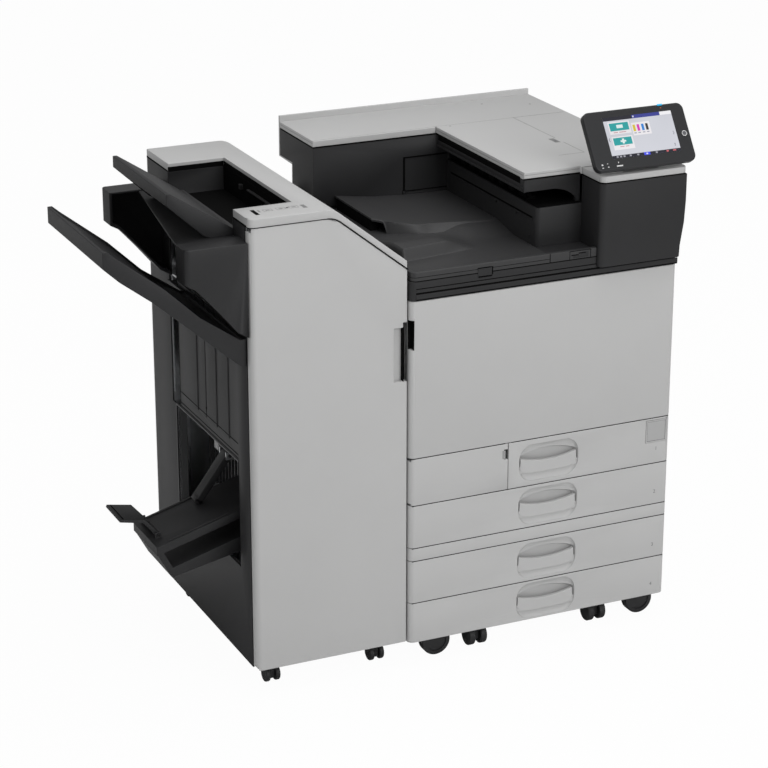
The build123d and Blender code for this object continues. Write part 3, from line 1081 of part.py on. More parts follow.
def shift_tray():
    x1 = F_LEFT - 2
    top_z = LEFT_TOP - 4
    outline = [(SHIFT_X, top_z + 171), (SHIFT_X, top_z + 203), (SHIFT_X + 9, top_z + 203),
               (SHIFT_X + 24, top_z + 190), (SHIFT_X + 117, top_z + 117), (SHIFT_X + 183, top_z + 54),
               (x1 - 11, top_z), (x1, top_z), (x1, top_z - 54), (x1 - 12, top_z - 52),
               (SHIFT_X + 94, top_z + 94), (SHIFT_X + 31, top_z + 142)]
    body = prism_y(outline, SHIFT_Y0, SHIFT_Y1)
    floor_cut = [(SHIFT_X + 6, top_z + 210), (SHIFT_X + 6, top_z + 199), (SHIFT_X + 24, top_z + 184),
                 (SHIFT_X + 117, top_z + 111), (SHIFT_X + 183, top_z + 48), (x1 - 11, top_z - 5),
                 (x1 + 1, top_z - 5), (x1 + 1, top_z + 20), (SHIFT_X + 183, top_z + 80)]
    body -= prism_y(floor_cut, SHIFT_Y0 + 6, SHIFT_Y1 - 6)
    under = [(SHIFT_X + 5, top_z + 150), (SHIFT_X + 5, top_z + 193), (SHIFT_X + 24, top_z + 178),
             (SHIFT_X + 117, top_z + 105), (SHIFT_X + 183, top_z + 42), (x1 - 16, top_z - 13),
             (x1 - 16, top_z - 60), (SHIFT_X + 90, top_z + 80)]
    body -= prism_y(under, SHIFT_Y0 + 6, SHIFT_Y1 - 6)
    body += block(x1 - 5, x1, SHIFT_Y0, SLOT_Y1 - 6, top_z - 40, top_z - 3)
    body += block(x1 - 1, LIFT_X + LIFT_R + 4, SLOT_Y0 + 6, SLOT_Y1 - 6, top_z - 28, LEFT_TOP - 11)
    return body - rod_z(LIFT_R + RUN, LIFT_X, LIFT_Y, top_z - 30, top_z)


def book_z(x):
    """Top of the booklet tray's sloping plate."""
    return BOOK_Z + (x - BOOK_X) * BOOK_SLOPE


def booklet_tray():
    x1 = PARTITION_X
    plate = prism_y([(BOOK_X, BOOK_Z), (x1, book_z(x1)), (x1, book_z(x1) - 18), (BOOK_X, BOOK_Z - 18)],
                    BOOK_Y0, BOOK_Y1)
    x0 = BOOK_X + 31
    z0 = BOOK_Z - 48
    shelf = prism_y([(x0, z0), (x1, z0 + (x1 - x0) * BOOK_SLOPE), (x1, z0 - 20 + (x1 - x0) * 0.21),
                     (x0, z0 - 20)], BOOK_Y0, BOOK_Y1)
    end = prism_y([(BOOK_X, BOOK_Z - 14), (x0 - 2, z0 - 20), (x0 + 10, z0 - 18), (BOOK_X + 14, BOOK_Z - 12)],
                  BOOK_Y0, BOOK_Y1)
    body = plate + shelf + end
    for y in (FLAP_Y0 - 5, FLAP_Y1 + 1):
        ear = block(FLAP_X - 6, FLAP_X + 6, y, y + 4, BOOK_Z - 10, FLAP_Z + 5)
        body += ear - rod_y(PIN_R + RUN, FLAP_X, y - 1, y + 5, FLAP_Z)
    return body


def booklet_flap():
    barrel = rod_y(FLAP_BARREL_R, FLAP_X, FLAP_Y0, FLAP_Y1, FLAP_Z)
    barrel += rod_y(PIN_R, FLAP_X, FLAP_Y0 - 5.5, FLAP_Y1 + 5.5, FLAP_Z)
    leaf = prism_y([(FLAP_X + 3, FLAP_Z + 3), (FLAP_X - 24, FLAP_Z + 34), (FLAP_X - 74, FLAP_Z + 43),
                    (FLAP_X - 76, FLAP_Z + 38), (FLAP_X - 28, FLAP_Z + 28), (FLAP_X - 4, FLAP_Z - 1)],
                   FLAP_Y0, FLAP_Y1)
    return barrel + leaf


def booklet_arm():
    x, z = ARM_PIVOT
    length = (ARM_DX ** 2 + ARM_DZ ** 2) ** 0.5
    nx, nz = -ARM_DZ / length * ARM_T / 2, ARM_DX / length * ARM_T / 2
    bar = prism_y([(x + nx, z + nz), (x + ARM_DX + nx, z + ARM_DZ + nz), (x + ARM_DX - nx, z + ARM_DZ - nz),
                   (x - nx, z - nz)], ARM_Y0, ARM_Y1)
    tip = rod_y(ROLLER_R, x + ARM_DX, ARM_Y0 + 3, ARM_Y1 - 3, z + ARM_DZ)
    pin = rod_y(AXLE_R, x, ARM_Y0 - 5.5, ARM_Y1 + 5.5, z)
    return bar + rod_y(8, x, ARM_Y0, ARM_Y1, z) + tip + pin


def stapler():
    body = block(RAIL_X - 30, RAIL_X + 30, STAPLER_Y, STAPLER_Y + STAPLER_L, RAIL_Z - 14, RAIL_Z + 56)
    body -= block(RAIL_X - 31, RAIL_X + 10, STAPLER_Y + 5, STAPLER_Y + STAPLER_L - 5, RAIL_Z + 30, RAIL_Z + 38)
    return body - rod_y(RAIL_R + RUN, RAIL_X, STAPLER_Y - 1, STAPLER_Y + STAPLER_L + 1, RAIL_Z)


def finisher_exit_roller():
    body = rod_y(SHAFT_R, EXIT_ROLLER_X, CUT_Y0 - SKIN - 3, CUT_Y1 + SKIN + 3, EXIT_ROLLER_Z)
    for k in range(4):
        y = CUT_Y0 + 30 + k * 85
        body += rod_y(EXIT_ROLLER_R, EXIT_ROLLER_X, y, y + 40, EXIT_ROLLER_Z)
    return body


# ================================================================ write every node
def main():
    os.makedirs("parts", exist_ok=True)
    single = {
        "power_inlet": power_inlet, "front_band": front_band, "bay_frame": bay_frame, "bay_housing": bay_housing, "output_tray": output_tray,
        "exit_housing": exit_housing, "top_cover": top_cover, "control_housing": control_housing,
        "panel_base": panel_base, "operation_panel": operation_panel, "panel_screen": panel_screen,
        "home_button": home_button, "front_door": front_door, "waste_toner_door": waste_toner_door,
        "right_door": right_door, "bypass_tray": bypass_tray, "writing_unit": writing_unit,
        "finisher_left_cover": finisher_left_cover,
        "finisher_rear_cover": finisher_rear_cover, "finisher_top_cover": finisher_top_cover,
        "finisher_front_door": finisher_front_door, "tray_shroud": tray_shroud, "upper_tray": upper_tray,
        "shift_tray": shift_tray, "booklet_tray": booklet_tray, "booklet_flap": booklet_flap,
        "booklet_arm": booklet_arm, "stapler": stapler, "finisher_exit_roller": finisher_exit_roller,
        "finisher_rear_axle": finisher_rear_axle,
    }
    for name, make in single.items():
        save(name, make())
    groups = {
        "chassis": chassis, "finisher_frame": finisher_frame, "rear_cover": rear_cover,
        "side_covers": side_covers, "fasteners": fasteners, "drum_units": drum_units,
        "transfer_belt": transfer_belt, "caster_brackets": caster_brackets,
    }
    for name, make in groups.items():
        save(name, *make())
    for n in TRAY_H:
        save(f"paper_tray_{n}", tray(n))
    for i, colour in enumerate(("black", "cyan", "magenta", "yellow")):
        save(f"toner_bottle_{colour}", toner_bottle(i))
    save("fuser_roller", fuser_roller(0))
    save("pressure_roller", fuser_roller(1))
    for i, side in enumerate(("left", "right")):
        x = CASTER_X[i]
        save(f"front_caster_{side}",
             caster_fork(x, CASTER_Y, TRAIL, WHEEL_R, WHEEL_T, FORK_TOP, 2 * WHEEL_R + 0.5))
        save(f"front_wheel_{side}", caster_wheel(x + TRAIL, CASTER_Y, WHEEL_R, WHEEL_T))
        save(f"rear_wheel_{side}", rear_wheel(REAR_CASTER_X[i]))
        save(f"middle_wheels_{side}", wheel_set(TWIN_X[i], TWIN_Y, TWIN_R, TWIN_W, TWIN_WHEEL_T))
        fx = F_CASTER_X[i]
        save(f"finisher_caster_{side}", finisher_fork(fx))
        save(f"finisher_wheels_{side}",
             wheel_set(fx, F_CASTER_Y - F_TRAIL, F_TWIN_R, F_TWIN_W, F_TWIN_WHEEL_T))


main()
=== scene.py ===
import json
from math import cos, pi, radians, sin

import bmesh
import bpy
import numpy as np
from mathutils import Matrix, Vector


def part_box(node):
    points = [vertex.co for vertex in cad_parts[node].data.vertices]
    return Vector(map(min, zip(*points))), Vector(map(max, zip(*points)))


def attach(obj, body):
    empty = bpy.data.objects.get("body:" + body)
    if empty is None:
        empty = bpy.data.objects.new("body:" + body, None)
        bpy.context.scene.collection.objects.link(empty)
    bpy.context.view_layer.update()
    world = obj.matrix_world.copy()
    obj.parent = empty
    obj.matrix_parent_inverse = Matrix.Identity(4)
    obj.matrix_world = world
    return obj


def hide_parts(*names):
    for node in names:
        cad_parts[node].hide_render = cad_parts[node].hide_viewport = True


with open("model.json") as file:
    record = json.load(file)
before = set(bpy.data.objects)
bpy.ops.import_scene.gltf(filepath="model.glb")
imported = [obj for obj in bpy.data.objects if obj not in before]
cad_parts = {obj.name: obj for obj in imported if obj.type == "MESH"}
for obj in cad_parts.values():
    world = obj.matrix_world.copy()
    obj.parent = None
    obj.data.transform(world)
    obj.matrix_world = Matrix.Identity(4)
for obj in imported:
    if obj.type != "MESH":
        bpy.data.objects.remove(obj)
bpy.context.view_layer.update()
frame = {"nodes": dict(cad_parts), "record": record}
MM = 0.001

# -------------------------------------- finishes
COVER_GREY = (0.48, 0.48, 0.478)
CHARCOAL = (0.020, 0.020, 0.021)
PANEL_BLACK = (0.017, 0.0175, 0.019)
RUBBER_BLACK = (0.012, 0.012, 0.013)
ZINC = (0.60, 0.61, 0.62)
DRIFT_WAVES = 9.0       # waves per metre of the slow drift in a moulding's colour
DRAWN_WAVES = 220.0     # waves per metre of the grain of drawn metal
DRAWN = (1, 1, 12)      # how much finer that grain is along each axis
GLOSS_RANGE = 0.05      # how far a moulding's roughness goes from its middle
METAL_RANGE = 0.08      # the same of a metal's roughness, and of its colour


def node_set(material):
    """Fresh node tree with its output and main shader."""
    material.use_nodes = True
    tree = material.node_tree
    tree.nodes.clear()
    output = tree.nodes.new("ShaderNodeOutputMaterial")
    shader = tree.nodes.new("ShaderNodeBsdfPrincipled")
    tree.links.new(shader.outputs[0], output.inputs[0])
    return tree, shader


def noise(tree, scale, detail=2.0, stretch=(1, 1, 1)):
    """Noise over the piece's own coordinates, scale in waves per metre."""
    coord = tree.nodes.new("ShaderNodeTexCoord")
    mapping = tree.nodes.new("ShaderNodeMapping")
    mapping.inputs["Scale"].default_value = stretch
    tree.links.new(coord.outputs["Object"], mapping.inputs["Vector"])
    texture = tree.nodes.new("ShaderNodeTexNoise")
    texture.inputs["Scale"].default_value = scale
    texture.inputs["Detail"].default_value = detail
    tree.links.new(mapping.outputs["Vector"], texture.inputs["Vector"])
    return texture.outputs["Fac"]


def spread(tree, value, low, high):
    """Maps the middle of a noise, from 0.3 to 0.7, to the range from low to high."""
    node = tree.nodes.new("ShaderNodeMapRange")
    node.inputs["From Min"].default_value = 0.3
    node.inputs["From Max"].default_value = 0.7
    node.inputs["To Min"].default_value = low
    node.inputs["To Max"].default_value = high
    tree.links.new(value, node.inputs["Value"])
    return node.outputs["Result"]


def tint(tree, colour, value, amount):
    """Colour that goes from amount darker to amount lighter as value goes from 0 to 1."""
    mix = tree.nodes.new("ShaderNodeMix")
    mix.data_type = "RGBA"
    mix.inputs["A"].default_value = (*[c * (1 - amount) for c in colour], 1)
    mix.inputs["B"].default_value = (*[min(1.0, c * (1 + amount)) for c in colour], 1)
    tree.links.new(value, mix.inputs["Factor"])
    return mix.outputs["Result"]


def bump(tree, shader, height, distance):
    """Bump of a height value on a shader, full strength over a distance in metres."""
    node = tree.nodes.new("ShaderNodeBump")
    node.inputs["Distance"].default_value = distance
    node.inputs["Strength"].default_value = 1.0
    tree.links.new(height, node.inputs["Height"])
    tree.links.new(node.outputs["Normal"], shader.inputs["Normal"])


def moulded(name, colour, rough, grain=1500.0, depth=0.00002, amount=0.008, specular=0.5):
    """Moulded plastic: a fine spark-eroded grain, with colour and gloss that drift slightly."""
    material = bpy.data.materials.new(name)
    tree, shader = node_set(material)
    shader.inputs["Specular IOR Level"].default_value = specular
    broad = noise(tree, DRIFT_WAVES, 3.0)
    tree.links.new(tint(tree, colour, spread(tree, broad, 0, 1), amount), shader.inputs["Base Color"])
    fine = noise(tree, grain, 2.0)
    gloss = spread(tree, fine, rough - GLOSS_RANGE, rough + GLOSS_RANGE)
    tree.links.new(gloss, shader.inputs["Roughness"])
    bump(tree, shader, fine, depth)
    return material


def metal(name, colour, rough):
    """Sheet or turned metal with a faint drawn grain."""
    material = bpy.data.materials.new(name)
    tree, shader = node_set(material)
    shader.inputs["Metallic"].default_value = 1.0
    grain = noise(tree, DRAWN_WAVES, 3.0, DRAWN)
    shade = tint(tree, colour, spread(tree, grain, 0, 1), METAL_RANGE)
    tree.links.new(shade, shader.inputs["Base Color"])
    gloss = spread(tree, grain, rough - METAL_RANGE, rough + METAL_RANGE)
    tree.links.new(gloss, shader.inputs["Roughness"])
    bump(tree, shader, grain, 0.00001)
    return material


FINISH = {
    "cover_grey": moulded("cover_grey", COVER_GREY, 0.50),
    "dark_plastic": moulded("dark_plastic", CHARCOAL, 0.50, depth=0.00006, amount=0.06, specular=0.3),
    "panel_shell": moulded("panel_shell", PANEL_BLACK, 0.42, specular=0.35),
    "display": moulded("display", (0.6, 0.62, 0.8), 0.15),
    "button_grey": moulded("button_grey", (0.10, 0.10, 0.11), 0.3),
    "frame_steel": metal("frame_steel", ZINC, 0.38),
    "optics_case": moulded("optics_case", (0.02, 0.02, 0.022), 0.55),
    "photoconductor": moulded("photoconductor", (0.02, 0.12, 0.13), 0.12, depth=0.000002),
    "belt_film": moulded("belt_film", (0.015, 0.015, 0.017), 0.2, depth=0.000002),
    "silicone": moulded("silicone", (0.22, 0.05, 0.03), 0.35, depth=0.00001),
    "wheel_grey": moulded("wheel_grey", RUBBER_BLACK, 0.55),
    "toner_black": moulded("toner_black", (0.012, 0.012, 0.012), 0.3),
    "toner_cyan": moulded("toner_cyan", (0.01, 0.22, 0.48), 0.3),
    "toner_magenta": moulded("toner_magenta", (0.40, 0.01, 0.13), 0.3),
    "toner_yellow": moulded("toner_yellow", (0.70, 0.42, 0.01), 0.3),
}

SLOT = {s["node"]: s["material_slot"] for s in frame["record"]["subparts"]}
BODY = {n: b for b, members in frame["record"]["behaviour"]["bodies"].items() for n in members}


# -------------------------------------- pieces
def place(mesh, name, body, slot, *nodes):
    """Object of a finished mesh, with its finish, body and the CAD nodes that it stands for."""
    piece = bpy.data.objects.new(name, mesh)
    bpy.context.scene.collection.objects.link(piece)
    if not mesh.materials:
        mesh.materials.append(FINISH[slot])
    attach(piece, body)
    if nodes:
        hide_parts(*nodes)
    return piece


def round_edges(piece, width):
    """Rounds the edges of a piece that are sharper than 32 degrees with a bevel of that width."""
    modifier = piece.modifiers.new("rounded_edges", "BEVEL")
    modifier.width = width
    modifier.segments = 3
    modifier.limit_method = "ANGLE"
    modifier.angle_limit = radians(32.0)
    modifier.use_clamp_overlap = False
    modifier.harden_normals = True
    return piece


def dress(node, width):
    """Rounded copy of a CAD piece: corners merged, flat triangles joined, edges bevelled."""
    mesh = frame["nodes"][node].data.copy()
    mesh.materials.clear()
    work = bmesh.new()
    work.from_mesh(mesh)
    bmesh.ops.remove_doubles(work, verts=work.verts, dist=1e-6)
    bmesh.ops.join_triangles(work, faces=work.faces, angle_face_threshold=radians(0.5),
                             angle_shape_threshold=radians(180))
    for face in work.faces:
        face.smooth = True
    work.to_mesh(mesh)
    work.free()
    piece = place(mesh, node + "_shell", BODY[node], SLOT[node], node)
    return round_edges(piece, width)


# Rounding of each cover's edges, in millimetres. The other CAD pieces keep sharp edges.
EDGE = {
    "front_door": 1.2, "waste_toner_door": 1.0, "paper_tray_1": 1.0, "paper_tray_2": 1.0, "paper_tray_3": 1.0,
    "paper_tray_4": 1.0, "front_band": 1.0, "side_covers": 0.8, "rear_cover": 0.8, "top_cover": 1.5,
    "control_housing": 1.5, "panel_base": 1.5, "bay_frame": 0.8, "bay_housing": 0.8,
    "exit_housing": 1.0, "right_door": 1.0, "bypass_tray": 0.8, "finisher_front_door": 1.2,
    "finisher_top_cover": 1.5, "finisher_left_cover": 0.6, "finisher_rear_cover": 0.8, "tray_shroud": 1.2,
    "upper_tray": 1.2, "shift_tray": 1.2, "booklet_tray": 1.2, "booklet_flap": 1.0, "booklet_arm": 1.2,
}
for name, width in EDGE.items():
    dress(name, width * MM)
for name, cad in frame["nodes"].items():
    if name not in EDGE:
        cad.data.materials.clear()
        cad.data.materials.append(FINISH[SLOT[name]])


# -------------------------------------- places
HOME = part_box("front_band")[0]              # the copier's left side and front, in metres
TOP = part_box("top_cover")[1].z / MM         # level of the copier's top
LEFT = (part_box("finisher_top_cover")[0].x - HOME.x) / MM    # the finisher's left side
FIN_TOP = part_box("finisher_top_cover")[1].z / MM            # level of its top
FIN_PLATE = FIN_TOP - 17.0                  # lower edge of its top plate


# -------------------------------------- shapes
# A shape is a pair: points in millimetres from the copier's lower front left corner, and faces.
def joined(*shapes):
    """Several shapes as one."""
    points, faces, count = [], [], 0
    for shape_points, shape_faces in shapes:
        points.append(shape_points)
        faces += [tuple(np.asarray(f) + count) for f in shape_faces]
        count += len(shape_points)
    return np.concatenate(points), faces


def loft(rings, round_way=False):
    """Skin through closed rings of points, with both ends capped or, if round_way, joined up."""
    rings = np.asarray(rings, float)
    count, size = rings.shape[:2]
    index = np.arange(count * size).reshape(count, size)
    if round_way:
        index = np.concatenate([index, index[:1]])
    side = np.roll(index, -1, axis=1)
    quads = np.stack([index[:-1], side[:-1], side[1:], index[1:]], axis=-1).reshape(-1, 4)
    faces = [tuple(q) for q in quads]
    if not round_way:
        faces += [tuple(index[0][::-1]), tuple(index[-1])]
    return rings.reshape(-1, 3), faces


def prism(outline, axis, low, high):
    """Outline in the plane across an axis, carried along it; the outline gives the other two in order."""
    outline = np.asarray(outline, float)
    return loft([np.insert(outline, "xyz".index(axis), level, axis=1) for level in (low, high)])


def box(x0, x1, y0, y1, z0, z1):
    """Box between two places on each axis."""
    return prism([(x0, y0), (x1, y0), (x1, y1), (x0, y1)], "z", z0, z1)


def boxes(*sides):
    """Several boxes as one shape, each given by its six places."""
    return joined(*[box(*six) for six in sides])


def relief(axis, low, high, *areas):
    """Flat boxes between two levels on an axis, each given by its four places on the other two."""
    at = 2 * "xyz".index(axis)
    return boxes(*[(*area[:at], low, high, *area[at:]) for area in areas])


def turned(profile, axis, centre, steps=48):
    """Closed profile of (radius, along) turned about an axis through centre."""
    profile = np.asarray(profile, float)
    angle = np.linspace(0, 2 * pi, steps, endpoint=False)[:, None]
    across = [profile[:, 0] * np.cos(angle), profile[:, 0] * np.sin(angle)]
    along = np.broadcast_to(profile[:, 1], across[0].shape)
    order = {"x": (along, *across), "y": (across[0], along, across[1]), "z": (*across, along)}[axis]
    return loft(np.stack(order, axis=-1) + np.asarray(centre, float), round_way=True)


def rod(axis, centre, radius, low, high, chamfer=0.3, steps=32):
    """Cylinder with small chamfers, low and high measured along its axis from centre."""
    profile = [(0.01, low), (radius - chamfer, low), (radius, low + chamfer), (radius, high - chamfer),
               (radius - chamfer, high), (0.01, high)]
    return turned(profile, axis, centre, steps)


def tube(path, radius, sides=10):
    """Round wire along a path of points."""
    path = np.asarray(path, float)
    ahead = np.gradient(path, axis=0)
    ahead /= np.linalg.norm(ahead, axis=1, keepdims=True)
    up = np.where(np.abs(ahead[:, 2:]) > 0.9, (1.0, 0.0, 0.0), (0.0, 0.0, 1.0))
    side = np.cross(ahead, up)
    side /= np.linalg.norm(side, axis=1, keepdims=True)
    up = np.cross(side, ahead)
    angle = np.linspace(0, 2 * pi, sides, endpoint=False)[None, :, None]
    return loft(path[:, None] + radius * (side[:, None] * np.cos(angle) + up[:, None] * np.sin(angle)))


def corner_arc(x, y, radius, steps):
    """Quarter circle about (x, y) as seen from above, from its left end to its front end."""
    return [(x - radius * cos(a), y - radius * sin(a)) for a in np.linspace(0, pi / 2, steps)]


def grid(*parts):
    """Grid of points from its x, y and z, which are arrays or numbers that fit together."""
    return np.stack(np.broadcast_arrays(*parts), axis=-1)


def slab(front, back):
    """Closed solid between two grids of points of the same size."""
    rows, columns = front.shape[:2]
    index = np.arange(rows * columns).reshape(rows, columns)
    quads = np.stack([index[:-1, :-1], index[1:, :-1], index[1:, 1:], index[:-1, 1:]], axis=-1).reshape(-1, 4)
    rim = np.concatenate([index[0, :], index[1:, -1], index[-1, -2::-1], index[-2:0:-1, 0]])
    after = np.roll(rim, -1)
    far = rows * columns
    wall = np.stack([rim, after, after + far, rim + far], axis=-1)
    faces = np.concatenate([quads, quads[:, ::-1] + far, wall])
    return np.concatenate([front.reshape(-1, 3), back.reshape(-1, 3)]), [tuple(f) for f in faces]


def smooth(value, low, high):
    """Goes from 0 to 1 between low and high with level ends: three t squared less two t cubed."""
    t = np.clip((np.asarray(value, float) - low) / (high - low), 0, 1)
    return t * t * (3 - 2 * t)


def rounded(width, height, radius):
    """Outline of a rounded rectangle about its middle, anticlockwise."""
    angle = np.linspace(0, pi / 2, 8)
    corner = radius * np.stack([np.cos(angle), np.sin(angle)], axis=1)
    turn = [corner, corner[:, ::-1] * (-1, 1), -corner, corner[:, ::-1] * (1, -1)]
    sign = [(1, 1), (-1, 1), (-1, -1), (1, -1)]
    middle = (width / 2 - radius, height / 2 - radius)
    return np.concatenate([t + np.array(s) * middle for t, s in zip(turn, sign)])


def piece(name, shape, body, slot, *nodes, finish=None, bevel=0.0):
    """Object of a shape. finish, where given, is a material other than the slot's own, and bevel
    rounds its edges by that many millimetres."""
    points, faces = shape
    points = (points + np.array([HOME.x, HOME.y, 0]) / MM) * MM
    mesh = bpy.data.meshes.new(name)
    mesh.from_pydata(points.tolist(), [], faces)
    work = bmesh.new()
    work.from_mesh(mesh)
    bmesh.ops.remove_doubles(work, verts=work.verts, dist=2e-6)
    bmesh.ops.recalc_face_normals(work, faces=work.faces)
    for face in work.faces:
        face.smooth = True
    for edge in work.edges:
        if len(edge.link_faces) == 2 and edge.calc_face_angle() > radians(38):
            edge.smooth = False
    work.to_mesh(mesh)
    work.free()
    if finish:
        mesh.materials.append(finish)
    made = place(mesh, name, body, slot, *nodes)
    return round_edges(made, bevel * MM) if bevel else made


# -------------------------------------- extra finishes
def glow(name, colour, strength=1.0):
    """Lit part of a display behind glossy glass, a little uneven across its width."""
    material = bpy.data.materials.new(name)
    tree, shader = node_set(material)
    shader.inputs["Base Color"].default_value = (0.01, 0.01, 0.012, 1)
    shader.inputs["Roughness"].default_value = 0.12
    shade = noise(tree, 14.0, 1.0)
    tree.links.new(tint(tree, colour, spread(tree, shade, 0, 1), 0.04), shader.inputs["Emission Color"])
    shader.inputs["Emission Strength"].default_value = strength
    return material


def paint(name, colour):
    """Thin printed or painted mark, and also thin lines of painted shade in seams, grooves and gaps."""
    return moulded(name, colour, 0.5, grain=900.0, depth=0.000004, amount=0.05)


# Near-black for painted shade: sheets and lines put inside gaps, slots, seams and hollows where shade falls.
SHADE_BLACK = moulded("painted_shade_black", (0.003, 0.003, 0.003), 0.8, specular=0.05)
# Grey that paints the shade in the seams and the lip's groove on the top cover, and also colours printed
# signs, moulded dots, the sensor window and a screw.
SEAM_SHADE_AND_MARK_GREY = paint("seam_shade_and_mark_grey", (0.21, 0.21, 0.21))
# Dark grey for printed numerals, the top cover's sensor and the finisher's key, and also painted shade in the
# gap round the first tray's card.
MARK_AND_GAP_SHADE_GREY = paint("mark_and_gap_shade_grey", (0.13, 0.13, 0.135))
MARK_WHITE = paint("mark_white", (0.62, 0.62, 0.62))
SOFT_GREY = moulded("soft_grey", (0.30, 0.30, 0.30), 0.5)
MID_GREY = moulded("mid_grey", (0.075, 0.075, 0.077), 0.5)
# Painted light: a lighter copy of the charcoal plastic for the output tray's floor, ramp and rim, standing in
# for the light that falls on the tray's top.
LIT_TRAY_DARK = moulded("tray_dark_painted_light", (0.034, 0.034, 0.035), 0.48, specular=0.35)
CARD = paint("card", (0.40, 0.40, 0.40))


def gap_piece(name, shape, body):
    """Piece in near-black that paints the shade inside a gap, slot, seam or hollow."""
    piece(name, shape, body, "dark_plastic", finish=SHADE_BLACK)


# -------------------------------------- tray fronts
GRIP_X = 307.5          # middle of the grips
GRIP_W, GRIP_H, GRIP_R = 132.4, 76.4, 29.7
RIM = 0.8               # how far a grip's rim lies behind the tray's front
BOWL_BACK = 14.9        # back of a grip's bowl
BAR_DIP = 226.1         # radius of the dip in the bar's upper edge
BAR_HALF = 62.0         # half the bar's width
NOSE = 1.2              # rounding of the bar's upper edge
TRAY_1_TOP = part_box("paper_tray_1")[1].z / MM


def grip_edges():
    """Places across a grip, with the upper half of its rim and the upper edge of its bar there.
    The rim's corners are circle arcs. The bar's edge dips on a circle's arc and drops at its ends."""
    x = GRIP_W / 2 * np.sin(np.linspace(-1, 1, 141) * pi / 2)[:, None]
    past = np.clip(np.abs(x) - GRIP_W / 2 + GRIP_R, 0, None)
    rim = GRIP_H / 2 - GRIP_R + np.sqrt(GRIP_R ** 2 - past ** 2)
    arc = BAR_DIP - np.sqrt(BAR_DIP ** 2 - x ** 2)
    edge = np.minimum(1.5 + arc, rim - 2.5)
    edge += (np.minimum(-7.6, rim - 2.6) - edge) * smooth(np.abs(x), 62.4, 63.3)
    return x, rim, edge


def grip_bowl(x, rim, edge, middle):
    """Bowl of a grip. Its depth rises from the rim along a quarter sine to a deep back wall behind
    the bar, and at both sides it returns to the rim as one less a high power of the place across."""
    crest = np.minimum(27 - 12 * (x / BAR_HALF) ** 2, rim - 3)
    t = np.linspace(0, 1, 15)[None, :]
    lower = np.array([1.5, 3.0, 5.0])[None, :]
    foot = edge - 8
    z = np.concatenate([rim + (crest - rim) * t, crest - lower, foot, foot - 1, -rim], axis=1)
    z = np.minimum.accumulate(np.maximum(z, -rim), axis=1)
    slope = RIM + 6.4 * np.sin(t * pi / 2)
    wall = np.array([10.5, 13.2, 14.2, 14.2, 14.2, 9.0])[None, :]
    deep = np.concatenate([slope + np.zeros_like(x), wall + np.zeros_like(x)], axis=1)
    deep = RIM + (deep - RIM) * (1 - np.abs(x / (GRIP_W / 2)) ** 34)
    return slab(grid(x + GRIP_X, deep, z + middle), grid(x + GRIP_X, BOWL_BACK, z + middle))


def grip_bar(x, rim, edge, middle):
    """Bar across a grip. Below its rounded upper edge its face bulges slightly, and its lower part
    runs back by a power of half a sine wave and returns to the rim."""
    nose = np.linspace(0, pi / 2, 6)[None, :]
    t = np.linspace(0, 1, 40)[None, 1:] ** 0.9
    start = edge - NOSE
    z = np.concatenate([edge - NOSE * (1 - np.cos(nose)), start + (-rim - start) * t], axis=1)
    bulge = 1.3 + 1.0 * (x / BAR_HALF) ** 2 + 0.4 * smooth(edge - z, 0, 25)
    scoop = np.clip((-0.59 * rim - z) / (0.41 * rim), 0, 1)
    face = bulge * (1 - scoop) + RIM * scoop + 4.4 * np.sin(pi * scoop) ** 0.8
    curl = np.concatenate([NOSE * (1 - np.sin(nose)) + np.zeros_like(x), np.zeros((len(x), t.size))], axis=1)
    face = RIM + (face + curl - RIM) * (1 - np.abs(x / (GRIP_W / 2)) ** 60)
    back = np.minimum(face + 6.0, 14.5)
    return slab(grid(x + GRIP_X, face, z + middle), grid(x + GRIP_X, back, z + middle))


def grip(n):
    """Grip of one tray: a bowl, and a bar across it whose upper edge dips in the middle."""
    low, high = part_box(f"paper_tray_{n}")
    middle = (low.z + high.z) / 2 / MM - 1
    edges = grip_edges()
    body = BODY[f"paper_tray_{n}"]
    piece(f"tray_{n}_grip_bowl", grip_bowl(*edges, middle), body, "cover_grey")
    piece(f"tray_{n}_grip_bar", grip_bar(*edges, middle), body, "cover_grey")


def numeral(n):
    """Plain number beside a tray's grip, printed a tenth of a millimetre thick."""
    right, drop, sunk = 555 * MM, 21 * MM, 0.02 * MM
    low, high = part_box(f"paper_tray_{n}")
    text = bpy.data.curves.new(f"numeral_{n}", "FONT")
    text.body = str(n)
    text.size = 11 * MM
    text.extrude = 0.05 * MM
    text.align_x = "CENTER"
    holder = bpy.data.objects.new("numeral_source", text)
    mesh = bpy.data.meshes.new_from_object(holder)
    bpy.data.objects.remove(holder)
    turn = Matrix.Translation((HOME.x + right, low.y - sunk, low.z + 0.5 * (high.z - low.z) - drop))
    mesh.transform(turn @ Matrix.Rotation(pi / 2, 4, "X"))
    mesh.materials.clear()
    mesh.materials.append(MARK_AND_GAP_SHADE_GREY)
    place(mesh, f"tray_{n}_numeral", BODY[f"paper_tray_{n}"], "cover_grey")


